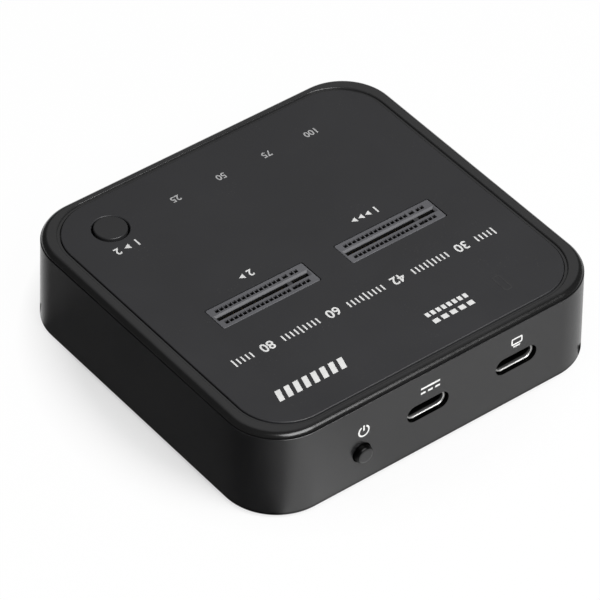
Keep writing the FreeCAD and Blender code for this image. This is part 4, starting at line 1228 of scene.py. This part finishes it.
# Floor, lamps and camera, in metres. A tone of a card's painted reflection stands with the angle in degrees
# at which the card has it
studio = {
    "floorSize": 6.0, "floorGrey": 0.93, "floorRoughness": 0.9, "floorShine": 0.1,
    "lift": (0.55, 0.98), "liftAway": (0.044, 0.055), "airGrey": 0.12,
    "keySize": (0.42, 0.3), "keyAt": (-0.03, 0.36, 0.43), "keyPower": 3.7,
    "backSize": (0.6, 0.6), "backAt": (-0.56, -0.6, 0.64), "backPower": 0.3,
    "aim": (0, 0, 0.01),
    "cardZ": 0.0003, "underZ": 0.00045, "underInset": 0.002,
    "sideCorners": ((0.0347, 0.0353), (-0.009, 0.283), (0.25, 0.283), (0.25, -0.08), (0.01, -0.08),
                    (0.01, 0.0)),
    "nearCorner": (0.0347, 0.0353),
    "nearTones": ((-90, 0.08), (-62, 0.06), (-40, 0.015), (-24, 0.0), (-5, 0.0), (18, 0.05), (42, 0.2),
                  (63, 0.34), (80, 0.68), (100, 0.97)),
    "leftCorner": (0.0393, -0.0306),
    "leftTones": ((-121, 0.96), (-111, 0.95), (-102, 0.76), (-91, 0.62), (-75, 0.4), (-60, 0.22),
                  (-30, 0.12), (28, 0.0)),
    "rearCorners": ((0.0347, 0.0353), (0.0347, -0.05), (-0.3, -0.05), (-0.3, 0.283), (-0.009, 0.283)),
    "rearFade": (0.009, 0.025), "rearTones": (0.67, 1.0),
}


def makeFloor():
    # pale, and lifted towards white where the camera looks at it
    selectNothing()
    bpy.ops.mesh.primitive_plane_add(size=studio["floorSize"], location=(0, 0, 0))
    floor = bpy.context.object
    floor.name = "floor"
    material, tree, shader = newMaterial("paleFloor")
    grey = studio["floorGrey"]
    setInputs(shader, {"Base Color": (grey, grey, grey, 1), "Roughness": studio["floorRoughness"],
                       "Specular IOR Level": studio["floorShine"]})
    rays = addNode(tree, "ShaderNodeLightPath")
    seen = mathNode(tree, "ADD", rays.outputs["Is Camera Ray"], rays.outputs["Is Transmission Ray"])
    seen = mathNode(tree, "ADD", seen, rays.outputs["Is Glossy Ray"])
    away = addNode(tree, "ShaderNodeVectorMath", operation="LENGTH")
    tree.links.new(objectPlace(tree), away.inputs[0])
    lift = rangeNode(tree, away.outputs["Value"], *studio["liftAway"], *studio["lift"])
    white = addNode(tree, "ShaderNodeEmission", {"Color": (1, 1, 1, 1), "Strength": 1.0})
    blend = addNode(tree, "ShaderNodeMixShader")
    out = tree.nodes["Material Output"]
    tree.links.new(mathNode(tree, "MULTIPLY", seen, lift), blend.inputs["Fac"])
    tree.links.new(shader.outputs["BSDF"], blend.inputs[1])
    tree.links.new(white.outputs["Emission"], blend.inputs[2])
    tree.links.new(blend.outputs["Shader"], out.inputs["Surface"])
    floor.data.materials.append(material)


def roundTone(tree, centre, tones):
    # a painted reflection tone that changes with the angle about one corner of the case
    shift = addNode(tree, "ShaderNodeVectorMath", operation="SUBTRACT")
    shift.inputs[1].default_value = (*centre, 0)
    around = addNode(tree, "ShaderNodeTexGradient", gradient_type="RADIAL")
    ramp = addNode(tree, "ShaderNodeValToRGB")
    tree.links.new(objectPlace(tree), shift.inputs[0])
    tree.links.new(shift.outputs["Vector"], around.inputs["Vector"])
    tree.links.new(around.outputs["Fac"], ramp.inputs["Fac"])
    stops = ramp.color_ramp.elements
    while len(stops) < len(tones):
        stops.new(0.5)
    for stop, (degrees, tone) in zip(stops, tones):
        stop.position = degrees / 360 + 0.5
        stop.color = (tone, tone, tone, 1)
    return ramp.outputs["Color"]


def sideTone(tree):
    near = roundTone(tree, studio["nearCorner"], studio["nearTones"])
    left = roundTone(tree, studio["leftCorner"], studio["leftTones"])
    return mathNode(tree, "MAXIMUM", near, left)


def rearTone(tree):
    across = axisPart(tree, objectPlace(tree), "X")
    return rangeNode(tree, across, *studio["rearFade"], *studio["rearTones"])


def makeCard(name, corners, height, tone=None):
    # only reflections see it: it glows with a painted reflection where it has a tone, and is black where it
    # has no tone
    card = startPlate(name, 1, 1, 0, 0, 0, height)
    bpy.ops.mesh.delete(type="VERT")
    mesh = bmesh.from_edit_mesh(card.data)
    mesh.faces.new([mesh.verts.new((x, y, height)) for x, y in corners])
    bmesh.update_edit_mesh(card.data)
    objectMode()
    material, tree, shader = newMaterial(name)
    setInputs(shader, {"Base Color": (0, 0, 0, 1), "Specular IOR Level": 0.0})
    if tone:
        setInputs(shader, {"Emission Strength": 1.0})
        tree.links.new(tone(tree), shader.inputs["Emission Color"])
    card.data.materials.append(material)
    card.visible_camera = card.visible_diffuse = card.visible_shadow = card.visible_transmission = False


def makeCards():
    # painted reflections that the walls mirror: glowing cards beside the +X wall and behind the ports, and
    # a black card as painted shade under the case
    makeCard("sideCard", studio["sideCorners"], studio["cardZ"], sideTone)
    makeCard("rearCard", studio["rearCorners"], studio["cardZ"], rearTone)
    x, y = (case[size] / 2 - studio["underInset"] for size in ("width", "depth"))
    corners = ((-x, caseY - y), (x, caseY - y), (x, caseY + y), (-x, caseY + y))
    makeCard("underCard", corners, studio["underZ"])


def makeWorld():
    world = bpy.data.worlds.new("studioAir")
    bpy.context.scene.world = world
    world.use_nodes = True
    grey = studio["airGrey"]
    setInputs(world.node_tree.nodes["Background"], {"Color": (grey, grey, grey, 1), "Strength": 1.0})


def makeLamp(name, size, at, power):
    light = bpy.data.lights.new(name, "AREA")
    light.shape = "RECTANGLE"
    light.size, light.size_y = size
    light.energy = power
    lamp = bpy.data.objects.new(name, light)
    bpy.context.scene.collection.objects.link(lamp)
    lamp.location = at
    lamp.rotation_euler = (Vector(studio["aim"]) - Vector(at)).to_track_quat("-Z", "Y").to_euler()


# Where the photo was taken from: angles in degrees, distance in metres, lens in millimetres
view = {
    "azimuth": 141.003, "elevation": 42.4656, "roll": 1.4429, "distance": 0.84575,
    "lens": 272.5, "sensor": 36, "nearest": 0.01, "shift": (-0.015434, 0.043801),
}


def makeCamera():
    az, el, roll = (math.radians(view[angle]) for angle in ("azimuth", "elevation", "roll"))
    back = Vector((math.sin(az) * math.cos(el), -math.cos(az) * math.cos(el), math.sin(el)))
    right = Vector((math.cos(az), math.sin(az), 0))
    up = back.cross(right)
    turnedRight = math.cos(roll) * right + math.sin(roll) * up
    turnedUp = -math.sin(roll) * right + math.cos(roll) * up
    camera = bpy.data.objects.new("camera", bpy.data.cameras.new("camera"))
    bpy.context.scene.collection.objects.link(camera)
    camera.data.lens = view["lens"]
    camera.data.sensor_width = view["sensor"]
    camera.data.shift_x, camera.data.shift_y = view["shift"]
    camera.data.clip_start = view["nearest"]
    turn = camera.matrix_world.to_3x3()
    for i, axis in enumerate((turnedRight, turnedUp, back)):
        turn.col[i] = axis
    camera.matrix_world = turn.to_4x4()
    camera.location = Vector((0, middleY, baseZ)) + back * view["distance"]
    bpy.context.scene.camera = camera


makeFloor()
makeCards()
makeWorld()
makeLamp("keySoftbox", studio["keySize"], studio["keyAt"], studio["keyPower"])
makeLamp("backSoftbox", studio["backSize"], studio["backAt"], studio["backPower"])
makeCamera()
bpy.context.scene.view_settings.view_transform = "Standard"

print("scene ready")
